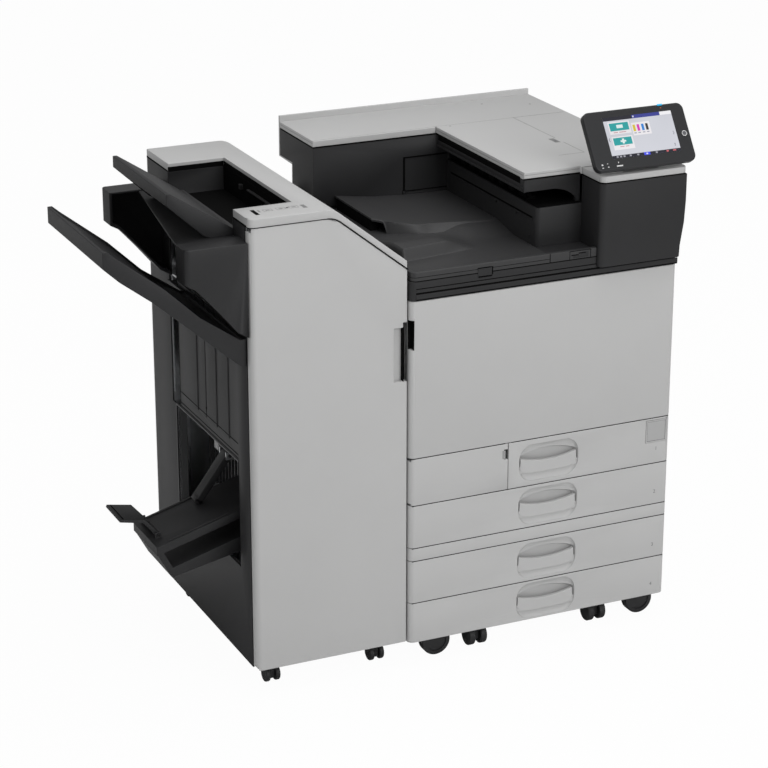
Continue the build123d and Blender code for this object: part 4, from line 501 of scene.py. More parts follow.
def label_plate():
    """Raised card holder on the first tray, with a blank card and a dark line of painted shade in the gap
    round the card.
    """
    x0, x1, z0, z1 = 530.5, 577.5, TRAY_1_TOP - 51.4, TRAY_1_TOP - 4.6
    wide, line, tuck = 2.0, 0.9, 0.1
    inner = wide - tuck
    body = BODY["paper_tray_1"]
    rim = relief("y", -0.5, 0.5, (x0, x1, z0, z0 + wide), (x0, x1, z1 - wide, z1),
                 (x0, x0 + wide, z0 + inner, z1 - inner), (x1 - wide, x1, z0 + inner, z1 - inner))
    piece("tray_1_card_rim", rim, body, "cover_grey")
    # Painted shade: dark line in the gap between the holder's rim and the card.
    gap = relief("y", -0.1, 0.6,
                 (x0 + wide, x1 - wide, z0 + wide, z0 + wide + line),
                 (x0 + wide, x1 - wide, z1 - wide - line, z1 - wide),
                 (x0 + wide, x0 + wide + line, z0 + wide, z1 - wide),
                 (x1 - wide - line, x1 - wide, z0 + wide, z1 - wide))
    piece("tray_1_card_gap", gap, body, "cover_grey", finish=MARK_AND_GAP_SHADE_GREY)
    card = box(x0 + inner, x1 - inner, 0.05, 0.55, z0 + inner, z1 - inner)
    piece("tray_1_card", card, body, "cover_grey", finish=CARD)


def door_latch():
    """Latch of the small cover: painted shade in a slot beside its edge, with a light finger tab."""
    x = (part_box("paper_tray_1")[0].x - HOME.x) / MM
    z = TRAY_1_TOP
    body = BODY["waste_toner_door"]
    slot = box(x - 9.4, x - 2.6, 4.5, 6.2, z - 33, z - 12)
    piece("waste_latch_slot", slot, body, "cover_grey", finish=SHADE_BLACK)
    tab = box(x - 13.5, x - 7.0, -0.6, 1.5, z - 31, z - 14)
    piece("waste_latch_tab", tab, body, "cover_grey", finish=SOFT_GREY, bevel=0.5)


for n in range(1, 5):
    grip(n)
    numeral(n)
label_plate()
door_latch()


# -------------------------------------- output bay
DECK = 825.0            # level of the output tray's floor
RIM_LEFT = 3.0          # the tray's rim on its left side
CORNER = 12.0           # radius of the rim's corner
BAY_BACK = 466.6        # back end of the bay
EXIT_X = 303.5          # left side of the exit unit
ARM_X = 279.0           # left side of the arm over the bay
BEND = (RIM_LEFT + CORNER, CORNER)


def output_floor():
    """Sculpted floor of the output tray: level, with a low tongue in front and a slight swelling
    behind it. The tongue is a straight rise behind a slanting edge, times smooth steps at its two
    ends and a smooth fall to a fifth behind. The swelling is the product of two smooth steps."""
    x = np.linspace(4, 303.3, 171)[:, None]
    y = np.linspace(9, 466.7, 231)[None, :]
    front = 88 + 0.14 * (x - 31)
    tongue = np.clip((y - front) / 18, 0, 1) * (1 - smooth(x, 122, 205)) * smooth(x, 24, 34)
    fall = 1 - 0.8 * smooth(y, 135, 240)
    swelling = 12 * smooth(y, 150, 235) * smooth(x, 150, 235)
    z = DECK + 21 * tongue * fall + swelling * (1 - tongue)
    floor = slab(grid(x, y, z), grid(x, y, DECK - 4))
    # Painted light: the floor takes the lighter tray finish.
    piece("output_tray_floor", floor, BODY["output_tray"], "dark_plastic", "output_tray", finish=LIT_TRAY_DARK)


def evened(values):
    """Moving average over eight samples on both sides, as a column."""
    return np.convolve(np.pad(values, 8, mode="edge"), np.ones(17) / 17, "valid")[:, None]


def output_ramp():
    """Raised rear plate of the output tray. Its height and its curved front edge run between
    chosen places and are evened out. Right of its left end its front drops to the floor in a
    straight slope, over a reach that widens to the right, and a hollow and props show under it."""
    body = BODY["output_tray"]
    places = np.array([(48, 289, 857), (65, 262, 854.5), (99, 248, 849.5), (134, 232, 845), (194, 222, 841),
                       (240, 214, 839.5), (303, 205, 839)], float)
    x = np.linspace(48, 303.2, 161)
    edge = evened(np.interp(x, places[:, 0], places[:, 1]))
    level = evened(np.interp(x, places[:, 0], places[:, 2]))
    x = x[:, None]
    t = np.linspace(0, 1, 101)[None, :]
    y = edge + (BAY_BACK - edge) * t ** 2
    drop = (level - DECK - 0.5) * smooth(x, 64, 74)
    reach = 3 + 24 * smooth(x, 80, 210)
    z = level - drop * (1 - np.clip((y - edge) / reach, 0, 1)) - 1.2 * (1 - smooth(y - edge, 0, 3))
    ramp = slab(grid(x, y, z), grid(x, y, z - 3.5))
    # Painted light: the ramp takes the lighter tray finish.
    piece("output_tray_ramp", ramp, body, "dark_plastic", finish=LIT_TRAY_DARK)
    # Painted shade: a near-black block in the hollow under the plate's left end.
    gap_piece("ramp_hollow", box(49, 64, 292, 460, DECK, 852), body)
    props = relief("z", DECK, 838, *[(60 + 30 * k, 62 + 30 * k, 320, 460) for k in range(3)])
    piece("output_tray_props", props, body, "dark_plastic")


def output_lip():
    """Raised rim along the front and left of the output tray, and the tray's base inside it. The rim
    is one rounded section on a bent path, whose points give x, y and the direction inwards."""
    section = [(0, 812.2), (0, 829), (0.5, 830.4), (1.8, 831), (8.6, 831), (10, 830), (10.6, 828),
               (10.6, 812.2)]
    path = [(RIM_LEFT, 466.0, 1.0, 0.0), (RIM_LEFT, 200.0, 1.0, 0.0)]
    path += [(x, y, (BEND[0] - x) / CORNER, (BEND[1] - y) / CORNER)
             for x, y in corner_arc(*BEND, CORNER, 12)]
    path += [(401.6, 0.0, 0.0, 1.0)]
    rings = [[(x + in_x * s, y + in_y * s, z) for s, z in section] for x, y, in_x, in_y in path]
    # Painted light: the rim takes the lighter tray finish.
    piece("output_tray_lip", loft(rings), BODY["output_tray"], "dark_plastic", finish=LIT_TRAY_DARK)
    base = boxes((14, 401.5, 6, 66, 800, DECK - 3.9), (4, 14.1, 14, 466, 806, DECK - 3.9),
                 (303, 401.5, 10, 66, 821, DECK))
    piece("output_tray_base", base, BODY["output_tray"], "dark_plastic")


def output_marks():
    """Seam, groove, hook and catch on the front of the tray's rim. The seam, the groove and the gaps round
    the hook and catch are painted shade in near-black.
    """
    body = BODY["output_tray"]
    lines = (("rim_seam", 0.2, 812.8, 401.5, 0.9), ("rim_step", 0.1, 820.6, 298, 0.45))
    for name, out, z, end, radius in lines:
        path = [(RIM_LEFT - out, 60)] + corner_arc(*BEND, CORNER + out, 10) + [(end, -out)]
        gap_piece(name, tube([(x, y, z) for x, y in path], radius, 8), body)
    hook_gap = boxes((142, 172, -0.5, 0.4, 821.4, 823.4), (172.6, 175.2, -0.5, 0.4, 806.5, 823),
                     (144, 173, -1.2, 0.4, 803.6, 806.2))
    gap_piece("rim_hook_gap", hook_gap, body)
    piece("rim_hook", box(142.5, 172.4, -1.4, 0.4, 806.4, 821.2), body, "dark_plastic", bevel=0.6)
    edges = relief("y", -0.25, 0.4, (298.4, 300, 813, 831.2), (342, 389, 829.3, 830.4),
                   (342, 389, 812.6, 813.7), (342, 343.2, 813, 830), (388, 389.2, 813, 830))
    bars = relief("y", -0.9, 0.4, (346, 362, 821, 822.6), (362, 378, 824, 825.6))
    gap_piece("rim_catch_lines", joined(edges, bars), body)
    outline = [(350, 815.5), (384, 815.5), (384, 827), (371, 827), (365, 821), (350, 819)]
    piece("rim_catch", prism(outline, "y", -0.7, 0.3), body, "dark_plastic", bevel=0.3)


def trim_marks():
    """Ribs along the dark trim below the output tray, and painted shade in the slots between them."""
    body = BODY["bay_frame"]
    ribs = relief("y", -0.9, 0.5, *[(CORNER, 586.8, *z) for z in ((777, 786.5), (790.5, 796.5))])
    piece("trim_ribs", ribs, body, "dark_plastic", bevel=0.4)
    slots = ((774.4, 776.8), (787, 790.2), (797, 798.4))
    lines = relief("y", -0.3, 0.5, *[(CORNER, 586.8, *z) for z in slots])
    gap_piece("trim_lines", lines, body)


def exit_unit():
    """Guide rail with tabs, the gap above it, a screw and the top of the exit unit. The gap and the top are
    painted shade in near-black.
    """
    body = BODY["exit_housing"]
    x = EXIT_X
    rail = boxes((x - 1.6, x + 0.4, 84, 446, 876.6, 879.6), (x - 2.4, x + 0.4, 150, 158, 872, 877),
                 (x - 2.4, x + 0.4, 238, 246, 872, 877))
    piece("exit_rail", rail, body, "dark_plastic", bevel=0.5)
    gap = box(x - 0.3, x + 0.4, 84, 448, 879.6, 883.4)
    gap_piece("exit_rail_gap", gap, body)
    screw = joined(rod("x", (x, 96, 843), 3.2, -1.4, 0.2), box(x - 1.6, x - 1.3, 93.5, 98.5, 842.6, 843.4))
    piece("exit_screw", screw, body, "dark_plastic")
    # Painted shade: a near-black sheet on the top of the exit unit.
    shade = box(305.5, 400.5, 68.5, 465.5, 905.7, 906.6)
    gap_piece("exit_top_shade", shade, body)


def arm_marks():
    """Slot and rails on the left side of the arm over the bay, and the block at its front end. The slot is
    painted shade in near-black.
    """
    body = BODY["exit_housing"]
    slot = box(ARM_X - 0.25, ARM_X + 0.4, 92, 458, 951.5, 960.5)
    gap_piece("arm_slot", slot, body)
    rails = boxes((ARM_X - 1.8, ARM_X + 0.3, 82, 464, 937.5, 941),
                  (ARM_X - 1.2, ARM_X + 0.3, 82, 464, 947, 950.5))
    piece("arm_rail", rails, body, "dark_plastic", bevel=0.5)
    piece("arm_end_fill", box(394, 402.4, 74.8, 84, 905, 961.5), body, "dark_plastic")


def exit_rollers():
    """Row of rollers on one shaft, and the fins that guide the paper to them, both in the near-black of
    painted shade.
    """
    body = BODY["exit_housing"]
    axle = (316, 0, 916)
    rollers = [rod("y", axle, 9, y, y + 22, 1.0) for y in range(130, 450, 44)]
    row = joined(rod("y", axle, 3, 120, 462), *rollers)
    gap_piece("exit_roller_row", row, body)
    section = [(306, 905.8), (330, 905.8), (330, 914), (318, 912)]
    fins = joined(*[prism(section, "y", y, y + 2) for y in range(124, 460, 16)])
    gap_piece("exit_guide_fins", fins, body)


def bay_wall():
    """Lines of the panels on the bay's back wall, drawn as painted shade, and a small catch between two of
    them.
    """
    body = BODY["bay_housing"]
    lines = boxes((202.4, 206.8, 466.0, 467.3, 850, 918), (201.4, 208, 465.4, 467.3, 838, 850),
                  (203, 303.2, 466.1, 467.3, 918, 920.8), (207, 303.2, 466.3, 467.3, 846.6, 848.2),
                  (2, 303, 466.2, 467.3, 833.5, 835))
    gap_piece("bay_wall_lines", lines, body)
    piece("bay_wall_catch", box(202.2, 207.2, 464.6, BAY_BACK, 840, 848), body, "dark_plastic", bevel=0.5)


output_floor()
output_ramp()
output_lip()
output_marks()
trim_marks()
exit_unit()
arm_marks()
exit_rollers()
bay_wall()


# -------------------------------------- top covers
COVER_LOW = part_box("top_cover")[0].z / MM


def top_marks():
    """Seams drawn as painted shade, the sensor window and moulded marks on the copier's top cover."""
    body = BODY["top_cover"]
    seams = relief("z", TOP - 0.4, TOP + 0.12, (459.2, 460.4, 162, 250), (459.2, 460.4, 286, 470),
                   (402, 459.2, 162, 163.2), (459.2, 580, 470, 471.2))
    low_seam = box(2, 459.2, 470, 471.0, TOP - 0.4, TOP + 0.05)
    piece("top_cover_seams", joined(seams, low_seam), body, "cover_grey", finish=SEAM_SHADE_AND_MARK_GREY)
    window = box(443, 455, 252, 284, TOP - 0.4, TOP + 0.15)
    piece("top_cover_window", window, body, "cover_grey", finish=SEAM_SHADE_AND_MARK_GREY)
    sensor = box(446, 452, 259, 268, TOP - 0.3, TOP + 0.3)
    piece("top_cover_sensor", sensor, body, "cover_grey", finish=MARK_AND_GAP_SHADE_GREY, bevel=0.2)
    dots = [rod("z", (x, y, TOP), 2.2, -0.3, 0.2, 0.1, 16) for x, y in ((453, 604), (547, 561), (308, 462))]
    piece("top_cover_dots", joined(*dots), body, "cover_grey", finish=SEAM_SHADE_AND_MARK_GREY)


def shadow_gaps():
    """Painted shadow in the gap along the lower edge of the top cover, and the fine line of painted shade in
    the lip's groove above it.
    """
    body = BODY["top_cover"]
    back, end, left = 468.0, 641.0, -0.35
    gap = relief("z", COVER_LOW - 0.4, COVER_LOW + 2.6, (left, 0.3, back, end),
                 (left, 277.5, back - 1.5, back - 0.2), (277.4, 278.7, 92, back), (277.4, 402, 74.3, 75.6))
    upright = box(276.7, 278.3, back - 1.2, back + 0.4, COVER_LOW, TOP + 0.1)
    gap_piece("top_cover_shadow_gap", joined(gap, upright), body)
    z = TOP - 6.0
    line = relief("z", z, z + 0.8, (-0.15, 0.3, back, end), (-0.15, 277.5, back - 0.2, back + 0.3),
                  (277.2, 277.8, 78, back), (280, 402, 74.8, 75.4))
    piece("top_cover_lip_line", line, body, "cover_grey", finish=SEAM_SHADE_AND_MARK_GREY)


def panel_base_gap():
    """Painted shadow in the gap under the panel's base, along its left side, round its corner and along its
    front.
    """
    path = [(402, 64)] + corner_arc(414, -1, 12, 10) + [(590, -13)]
    gap = tube([(x, y, COVER_LOW + 0.5) for x, y in path], 1.3, 8)
    gap_piece("panel_base_shadow_gap", gap, BODY["panel_base"])


top_marks()
shadow_gaps()
panel_base_gap()


# -------------------------------------- operation panel
TILT = radians(56)      # slope of the panel's face from the level
SCREEN_T = 1.2          # thickness of the display
BUTTON_R = 5.5          # radius of the home button


def on_screen(u0, u1, v0, v1, w, thick=0.15):
    """Flat box on the display: u runs right, v down, both as shares of the lit area; w stands off it."""
    low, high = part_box("panel_screen")
    wide = (high.x - low.x) / MM
    tall = ((high.z - low.z) / MM - SCREEN_T * cos(TILT)) / sin(TILT)
    corners = []
    for layer in (w, w + thick):
        for u, v in ((u0, v0), (u1, v0), (u1, v1), (u0, v1)):
            along, up = u * wide, (1 - v) * tall
            corners.append(((low.x - HOME.x) / MM + along,
                            (low.y - HOME.y) / MM + up * cos(TILT) - layer * sin(TILT),
                            low.z / MM + SCREEN_T * cos(TILT) + up * sin(TILT) + layer * cos(TILT)))
    return loft([corners[:4], corners[4:]])


def screen_piece(name, finish, colour, level, *areas):
    """Lit piece of the display: flat boxes on the given areas, which stand off it by level."""
    shape = joined(*[on_screen(*area, level) for area in areas])
    piece(name, shape, BODY["panel_screen"], "display", finish=glow(finish, colour))


def display():
    """Home screen of the copier: cards with two tiles, a title bar, four ink gauges, arrows at the
    sides and a row of keys."""
    screen_piece("screen_page", "screen_page", (0.60, 0.61, 0.66), 0.05, (0.0, 1.0, 0.0, 0.93))
    screen_piece("screen_foot", "screen_foot", (0.012, 0.012, 0.02), 0.06, (0.0, 1.0, 0.93, 1.0))
    screen_piece("screen_head", "screen_head", (0.012, 0.012, 0.02), 0.08, (0.0, 0.42, -0.001, 0.085))
    screen_piece("screen_title", "screen_title", (0.035, 0.045, 0.27), 0.1, (0.42, 0.83, -0.001, 0.085))
    screen_piece("screen_title_box", "screen_white", (0.86, 0.86, 0.88), 0.13,
                 (0.83, 1.0, -0.001, 0.08), (0.435, 0.45, 0.02, 0.06))
    screen_piece("screen_cards", "screen_card", (0.80, 0.78, 0.80), 0.1,
                 (0.055, 0.365, 0.12, 0.42), (0.06, 0.36, 0.48, 0.80), (0.385, 0.65, 0.19, 0.50))
    screen_piece("screen_tiles", "screen_tile", (0.02, 0.34, 0.34), 0.15,
                 (0.07, 0.345, 0.15, 0.34), (0.075, 0.34, 0.51, 0.69))
    screen_piece("screen_tile_marks", "screen_mark", (0.75, 0.84, 0.82), 0.2,
                 (0.17, 0.26, 0.20, 0.28), (0.20, 0.23, 0.54, 0.66), (0.175, 0.255, 0.58, 0.62))
    screen_piece("screen_words", "screen_word", (0.55, 0.30, 0.32), 0.2,
                 (0.11, 0.17, 0.37, 0.39), (0.19, 0.29, 0.37, 0.39),
                 (0.15, 0.21, 0.72, 0.74), (0.23, 0.28, 0.72, 0.74))
    gauges = (("yellow", (0.66, 0.50, 0.03), 0.40), ("magenta", (0.66, 0.03, 0.42), 0.46),
              ("cyan", (0.03, 0.22, 0.62), 0.525), ("black", (0.03, 0.025, 0.02), 0.585))
    wide = 0.036
    for ink, colour, u in gauges:
        screen_piece(f"screen_gauge_{ink}", f"gauge_{ink}", colour, 0.15, (u, u + wide, 0.24, 0.40))
    feet = [(u, u + wide, 0.43, 0.455) for ink, colour, u in gauges]
    screen_piece("screen_gauge_feet", "gauge_foot", (0.35, 0.35, 0.42), 0.15, *feet)
    screen_piece("screen_arrows", "screen_arrow", (0.09, 0.09, 0.13), 0.1,
                 (0.955, 0.962, 0.50, 0.53), (0.962, 0.969, 0.53, 0.56), (0.955, 0.962, 0.56, 0.59),
                 (0.022, 0.029, 0.50, 0.53), (0.015, 0.022, 0.53, 0.56), (0.022, 0.029, 0.56, 0.59),
                 (0.93, 0.945, 0.80, 0.82), (0.93, 0.945, 0.84, 0.86))
    keys = [(u, u + 0.028, 0.945, 0.985) for u in (0.06, 0.11, 0.16, 0.25, 0.36, 0.63)]
    screen_piece("screen_keys", "screen_key", (0.32, 0.32, 0.36), 0.12, *keys)
    screen_piece("screen_home_key", "screen_home", (0.06, 0.08, 0.75), 0.1, (0.46, 0.55, 0.93, 1.0))
    screen_piece("screen_home_mark", "screen_home_mark", (0.7, 0.7, 0.9), 0.16, (0.493, 0.517, 0.95, 0.985))
    screen_piece("screen_stop_keys", "screen_stop", (0.60, 0.13, 0.14), 0.12,
                 (0.79, 0.82, 0.945, 0.985), (0.885, 0.93, 0.95, 0.98))


def panel_marks():
    """Two lamps and small printed signs on the panel's shell."""
    body = BODY["operation_panel"]
    lamp = on_screen(0.83, 0.90, -0.185, -0.15, -1.0, 2.4)
    cyan = glow("lamp_cyan", (0.01, 0.42, 0.75), 1.2)
    piece("panel_status_lamp", lamp, body, "panel_shell", finish=cyan, bevel=0.4)
    lamp = on_screen(0.862, 0.877, -0.10, -0.082, 0.05, 0.2)
    orange = glow("lamp_orange", (0.55, 0.12, 0.02))
    piece("panel_alert_lamp", lamp, body, "panel_shell", finish=orange)
    signs = [on_screen(u, u + wide, v, v + tall, 0.05) for u, v, wide, tall in
             ((-0.18, 1.10, 0.022, 0.035), (-0.18, 1.18, 0.022, 0.02), (-0.10, 1.09, 0.014, 0.015),
              (-0.10, 1.17, 0.022, 0.02), (0.06, 1.08, 0.012, 0.03), (0.03, 1.165, 0.09, 0.03))]
    piece("panel_signs", joined(*signs), body, "panel_shell", finish=MARK_WHITE)


def home_ring():
    """Pale ring on the home button: a flattened wire bent to a circle along the panel's face."""
    low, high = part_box("home_button")
    middle = ((low.x + high.x) / 2 - HOME.x, (low.y + high.y) / 2 - HOME.y, (low.z + high.z) / 2)
    centre = np.array(middle) / MM
    out = np.array([0, -sin(TILT), cos(TILT)])
    angle = np.linspace(0, 2 * pi, 48, endpoint=False)[:, None]
    spoke = np.cos(angle) * np.array([1.0, 0, 0]) + np.sin(angle) * np.array([0, cos(TILT), sin(TILT)])
    turn = np.linspace(0, 2 * pi, 10, endpoint=False)[None, :, None]
    face = ((high.z - low.z) / MM - 2 * BUTTON_R * sin(TILT)) / 2 / cos(TILT)
    ring = centre + out * max(face, 0.3) + spoke[:, None] * (5.0 + 0.7 * np.cos(turn))
    ring = ring + out * 0.35 * np.sin(turn)
    piece("home_ring", loft(ring, round_way=True), BODY["home_button"], "button_grey", finish=MARK_WHITE)


def hinge_blocks():
    """Light blocks on both sides of the panel's dark hinge, a small screw, and painted shade in the well
    between.
    """
    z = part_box("panel_base")[1].z / MM
    body = BODY["panel_base"]
    pads = [prism(rounded(wide, 28, 5) + (x, 3.5), "z", z - 3, z + 4) for wide, x in ((46, 433), (54, 565))]
    piece("hinge_blocks", joined(*pads), body, "cover_grey", bevel=1.0)
    screw = rod("z", (547, -5, z + 4), 2.2, -1, 0.3, 0.2, 16)
    piece("hinge_screw", screw, body, "cover_grey", finish=SEAM_SHADE_AND_MARK_GREY)
    gap_piece("hinge_well", box(457, 538, -12.2, 10, z - 4.5, z + 0.3), body)


display()
panel_marks()
home_ring()
hinge_blocks()


# -------------------------------------- fronts
FRONTS = ("paper_tray_1", "paper_tray_2", "paper_tray_3", "paper_tray_4", "waste_toner_door", "front_band")


def front_top(node):
    """Upper edge of a front's face in metres, the highest of the corners that lie near the front."""
    mesh = frame["nodes"][node].data
    points = np.empty(len(mesh.vertices) * 3)
    mesh.vertices.foreach_get("co", points)
    points = points.reshape(-1, 3)
    near = points[:, 1] < points[:, 1].min() + 15 * MM
    return points[near, 2].max()


def front_seams():
    """Painted shade along the upper edge of each front: a thin near-black strip inside the gap above it."""
    for node in FRONTS:
        low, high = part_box(node)
        x0 = max((low.x - HOME.x) / MM, 0) + 6
        x1 = min((high.x - HOME.x) / MM, 587) - 6
        top = front_top(node) / MM
        strip = box(x0, x1, 0.5, 1.6, top - 0.3, top + 0.9)
        piece(f"{node}_gap_shade", strip, BODY[node], "cover_grey", finish=SHADE_BLACK)


front_seams()


# -------------------------------------- finisher's top and front
WELL_X, WELL_Y0, WELL_Y1 = -205.0, 88.0, 438.0      # right side, front and back of the well
PLATE_X = -323.0                                    # left edge of the top plate


def finisher_marks():
    """Slot, printed key guides and key on the finisher's top, and the gap below its edges. The slot and the
    gap are painted shade in near-black.
    """
    body = BODY["finisher_top_cover"]
    slot = box(-298.5, -290.5, 33, 66, FIN_TOP - 0.5, FIN_TOP + 0.14)
    piece("finisher_slot", slot, body, "cover_grey", finish=SHADE_BLACK)
    signs = []
    for x in (-276, -250, -224):
        signs += [(x, x + 18, 48, 49), (x, x + 18, 60, 61), (x, x + 1, 49, 60), (x + 17, x + 18, 49, 60),
                  (x + 5, x + 13, 52.5, 56.5)]
    signs += [(-286, -283, 47, 62), (-200, -192, 40, 62)]
    signs = relief("z", FIN_TOP - 0.3, FIN_TOP + 0.1, *signs)
    piece("finisher_signs", signs, body, "cover_grey", finish=SEAM_SHADE_AND_MARK_GREY)
    key = rod("z", (-228, 54, FIN_TOP), 2.6, -0.5, 0.8, 0.4, 20)
    piece("finisher_key", key, body, "cover_grey", finish=MARK_AND_GAP_SHADE_GREY)
    out, low = 0.35, FIN_PLATE - 0.2
    gap = boxes((PLATE_X - out, PLATE_X + 0.5, 440, 562, low, FIN_PLATE + 3.2),
                (PLATE_X, WELL_X, WELL_Y1 - out, WELL_Y1 + 0.5, low, FIN_PLATE + 10.0),
                (WELL_X - 0.5, WELL_X + out, WELL_Y0, WELL_Y1, low, FIN_PLATE + 10.0),
                (PLATE_X - out, PLATE_X + 0.5, 20, WELL_Y0, low, FIN_PLATE + 3.2))
    gap_piece("finisher_top_gap", gap, body)


def well_details():
    """Painted shade in the well behind the top plate, and the guides inside it."""
    body = BODY["tray_shroud"]
    shade_sheets = boxes((-322, WELL_X - 0.2, WELL_Y0 + 0.3, WELL_Y1 - 0.5, 907.6, 908.6),
                   (WELL_X - 1.4, WELL_X + 0.1, WELL_Y0 + 0.3, WELL_Y1 - 0.5, 908, FIN_PLATE),
                   (-322, WELL_X - 1, WELL_Y0 + 0.1, WELL_Y0 + 1.2, 908, FIN_PLATE))
    gap_piece("well_shade", shade_sheets, body)
    x, low = WELL_X + 0.2, FIN_PLATE
    guides = boxes((-212, x, 96, 300, low - 16, low - 13), (-214, x, 100, 108, low - 30, low - 16),
                   (-212, x, 200, 206, low - 26, low - 16), (-213, x, 330, 340, low - 22, low - 12))
    piece("well_guides", guides, body, "dark_plastic", bevel=0.5)


def finisher_door_seam():
    """Painted shade in the seam between the finisher's door and its top plate: round the left
    corner, along the level part, round the bend on an arc and down the slant."""
    front, radius, slope = 8.0, 45.0, radians(38.57)
    bend_x, slant_end = -167.3, (-1.4, front, 837.4)
    corner = [(x, y, FIN_PLATE) for x, y in corner_arc(-311, 20, 12, 8)]
    bend = [(bend_x + radius * sin(a), front, FIN_PLATE - radius + radius * cos(a))
            for a in np.linspace(0, slope, 8)]
    body = BODY["finisher_top_cover"]
    gap_piece("finisher_seam_level", tube(corner + bend[:1], 0.7, 8), body)
    gap_piece("finisher_seam_slant", tube(bend + [slant_end], 1.1, 8), body)


def finisher_grip():
    """Painted shade in the pull slot at the finisher door's right edge, and the light floor inside it."""
    body = BODY["finisher_front_door"]
    low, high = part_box("finisher_front_door")
    x, y = (high.x - HOME.x) / MM, (low.y - HOME.y) / MM
    walls = relief("z", 612.2, 731.8, (x - 8.6, x - 7.4, y + 0.2, y + 12.5),
                   (x - 8, x - 0.3, y + 11.6, y + 12.8))
    piece("finisher_grip_walls", walls, body, "cover_grey", finish=SHADE_BLACK)
    piece("finisher_grip_floor", box(x - 27, x - 9, y + 9.6, y + 10.3, 613.2, 721.8), body, "cover_grey")


def door_notch():
    """Painted shade in the notch at the front door's left edge, where the finisher's latch reaches in."""
    shade_sheets = relief("z", 675.2, 734.8, (7.6, 8.4, 0.3, 13.2), (0.3, 8, 12.6, 13.4))
    piece("door_notch_shade", shade_sheets, BODY["front_door"], "cover_grey", finish=SHADE_BLACK)


finisher_marks()
well_details()
finisher_door_seam()
finisher_grip()
door_notch()


# -------------------------------------- finisher's left side
BOOK_LEVEL, BOOK_RISE = 305.0, 0.284    # height of the booklet tray at its outer end, and its slope


def booklet_mouth():
    """Jamb and lip of the booklet opening, and the lines and grooves on the wall above it. The lines and a
    hole there are painted shade.
    """
    body = BODY["finisher_left_cover"]
    jamb = box(LEFT - 0.6, LEFT + 22, 430, 433.5, 252, 470)
    piece("mouth_jamb", jamb, body, "dark_plastic", finish=MID_GREY, bevel=0.8)
    lip = box(LEFT - 1.3, LEFT + 3, 86, 429, 470, 473.5)
    piece("mouth_lip", lip, body, "dark_plastic", finish=MID_GREY, bevel=0.8)
    lines = relief("x", LEFT - 0.4, LEFT + 0.4, (86, 404, 484, 485.4), (86, 404, 507, 508.4),
                   (86, 404, 476.5, 477.6), (403, 404.4, 476, 740))
    gap_piece("mouth_lines", lines, body)
    rims = relief("x", LEFT - 1.2, LEFT + 0.4, *[(y - 4.4, y - 2.4, 503, 738) for y in (134, 199, 304)])
    piece("groove_rims", rims, body, "dark_plastic", bevel=0.4)
    hole = rod("x", (LEFT, 255, 522), 3.0, -0.4, 0.4, 0.1, 20)
    gap_piece("groove_hole", hole, body)


def folding_unit():
    """Rollers, guides and the press arm's mount that show inside the booklet opening."""
    body = BODY["finisher_frame"]
    axle = (-262, 0, 452)
    rollers = [rod("y", axle, 8, y, y + 34, 1.0, 28) for y in (110, 180, 330)]
    row = joined(rod("y", axle, 4, 90, 425), *rollers)
    piece("fold_rollers", row, body, "dark_plastic", finish=MID_GREY)
    section = [(-256, 300), (-251, 300), (-251, 440), (-256, 432)]
    guides = joined(*[prism(section, "y", y, y + 3) for y in range(100, 425, 18)])
    piece("fold_guides", guides, body, "dark_plastic")
    mount = boxes((-306, -286, 240, 262, 434, 462), (-300, -292, 262, 330, 446, 454))
    piece("arm_mount", mount, body, "dark_plastic", finish=SOFT_GREY, bevel=1.0)


def booklet_details():
    """Two guide ribs along the booklet tray, and a dark line of painted shade on its flap."""
    start = (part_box("booklet_tray")[0].x - HOME.x) / MM
    run = np.linspace(start + 26, LEFT - 6, 24)
    for k, y in enumerate((126.0, 250.0)):
        path = np.stack([run, np.full_like(run, y), BOOK_LEVEL + (run - start) * BOOK_RISE + 1.0], axis=1)
        piece(f"booklet_tray_rib_{k + 1}", tube(path, 1.6, 10), BODY["booklet_tray"], "dark_plastic")
    low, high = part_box("booklet_flap")
    x, z = (low.x - HOME.x) / MM, high.z / MM
    line = box(x + 8, x + 9.2, 164, 241, z - 4.0, z + 0.2)
    gap_piece("flap_line", line, BODY["booklet_flap"])


booklet_mouth()
folding_unit()
booklet_details()


# -------------------------------------- stage, light and camera
FLOOR_HALF = 30.0       # half the floor's side in metres
FLOOR_WHITE = 0.97      # share of plain white in what the camera sees of the floor
STUDIO_LIGHT = 0.42     # strength of the even light from all round
CAMERA_AT = (-1.92294, -4.36962, 2.26817)
CAMERA_DOWN, CAMERA_RIGHT = 20.309, 24.652      # degrees that it looks down, and to the right


def white_floor():
    """White floor that keeps a soft shadow."""
    size = FLOOR_HALF
    mesh = bpy.data.meshes.new("floor")
    corners = [(-size, -size, 0), (size, -size, 0), (size, size, 0), (-size, size, 0)]
    mesh.from_pydata(corners, [], [(0, 1, 2, 3)])
    floor = bpy.data.objects.new("floor", mesh)
    bpy.context.scene.collection.objects.link(floor)
    material = bpy.data.materials.new("floor_paint")
    tree, shader = node_set(material)
    shader.inputs["Base Color"].default_value = (0.8, 0.8, 0.8, 1)
    shader.inputs["Roughness"].default_value = 0.9
    white = tree.nodes.new("ShaderNodeEmission")
    path = tree.nodes.new("ShaderNodeLightPath")
    share = tree.nodes.new("ShaderNodeMath")
    share.operation = "MULTIPLY"
    share.inputs[1].default_value = FLOOR_WHITE
    tree.links.new(path.outputs["Is Camera Ray"], share.inputs[0])
    mix = tree.nodes.new("ShaderNodeMixShader")
    tree.links.new(share.outputs[0], mix.inputs["Fac"])
    tree.links.new(shader.outputs[0], mix.inputs[1])
    tree.links.new(white.outputs[0], mix.inputs[2])
    output = next(n for n in tree.nodes if n.type == "OUTPUT_MATERIAL")
    tree.links.new(mix.outputs[0], output.inputs[0])
    mesh.materials.append(material)


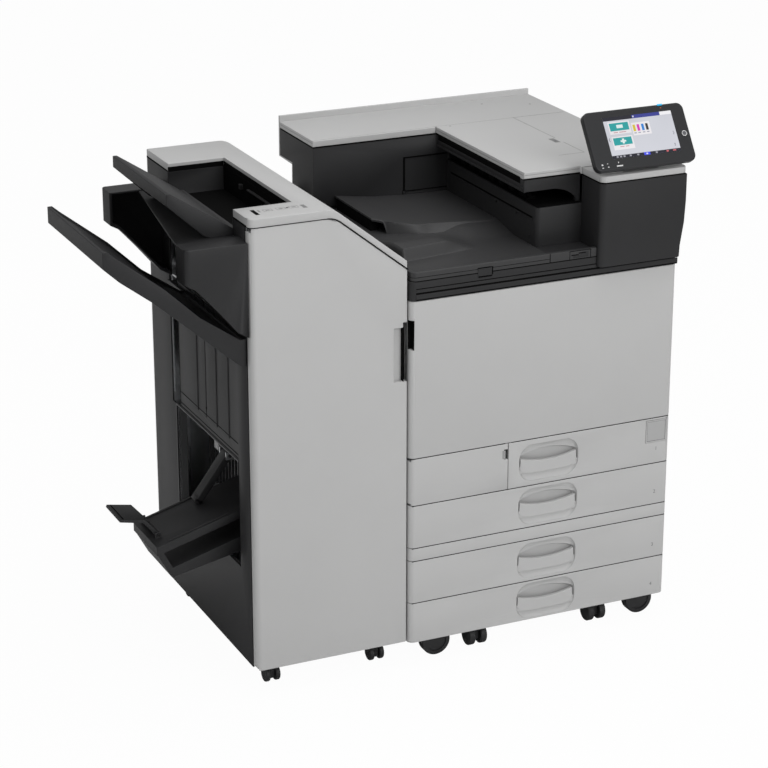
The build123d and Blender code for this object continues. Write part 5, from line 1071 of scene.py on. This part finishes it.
def studio():
    """Even light from all round, which the camera sees as plain white."""
    world = bpy.data.worlds.new("studio")
    bpy.context.scene.world = world
    world.use_nodes = True
    nodes, links = world.node_tree.nodes, world.node_tree.links
    nodes.clear()
    output = nodes.new("ShaderNodeOutputWorld")
    light = nodes.new("ShaderNodeBackground")
    light.inputs["Strength"].default_value = STUDIO_LIGHT
    seen = nodes.new("ShaderNodeBackground")
    seen.inputs["Strength"].default_value = 1.0
    for background in (light, seen):
        background.inputs["Color"].default_value = (1, 1, 1, 1)
    path = nodes.new("ShaderNodeLightPath")
    mix = nodes.new("ShaderNodeMixShader")
    links.new(path.outputs["Is Camera Ray"], mix.inputs["Fac"])
    links.new(light.outputs[0], mix.inputs[1])
    links.new(seen.outputs[0], mix.inputs[2])
    links.new(mix.outputs[0], output.inputs[0])


def softbox(name, place_at, target, size, power):
    """Area lamp that points at target."""
    lamp = bpy.data.lights.new(name, "AREA")
    lamp.shape = "RECTANGLE"
    lamp.size, lamp.size_y = size
    lamp.energy = power
    holder = bpy.data.objects.new(name, lamp)
    bpy.context.scene.collection.objects.link(holder)
    holder.location = place_at
    direction = np.array(target, float) - np.array(place_at, float)
    yaw = np.arctan2(direction[1], direction[0]) - pi / 2
    pitch = np.arctan2(direction[2], np.hypot(direction[0], direction[1]))
    holder.rotation_euler = (pi / 2 + pitch, 0, yaw)


def camera():
    """Camera in front of the copier and to its left, which looks a little down at it."""
    view = bpy.data.cameras.new("camera")
    view.sensor_width = 36.0
    view.lens = 116.64
    view.clip_end = 100.0
    holder = bpy.data.objects.new("camera", view)
    bpy.context.scene.collection.objects.link(holder)
    holder.location = CAMERA_AT
    holder.rotation_euler = (radians(90 - CAMERA_DOWN), 0, radians(-CAMERA_RIGHT))
    bpy.context.scene.camera = holder


white_floor()
studio()
softbox("key", (1.2, -5.0, 3.2), (0, 0, 0.6), (2.5, 2.5), 109)
softbox("top", (0.5, -0.5, 4.5), (0, 0, 0.8), (4.0, 3.0), 78)
softbox("side", (-4.5, -1.5, 2.2), (0, 0, 0.7), (2.5, 2.5), 12)
camera()
bpy.context.scene.view_settings.view_transform = "Standard"
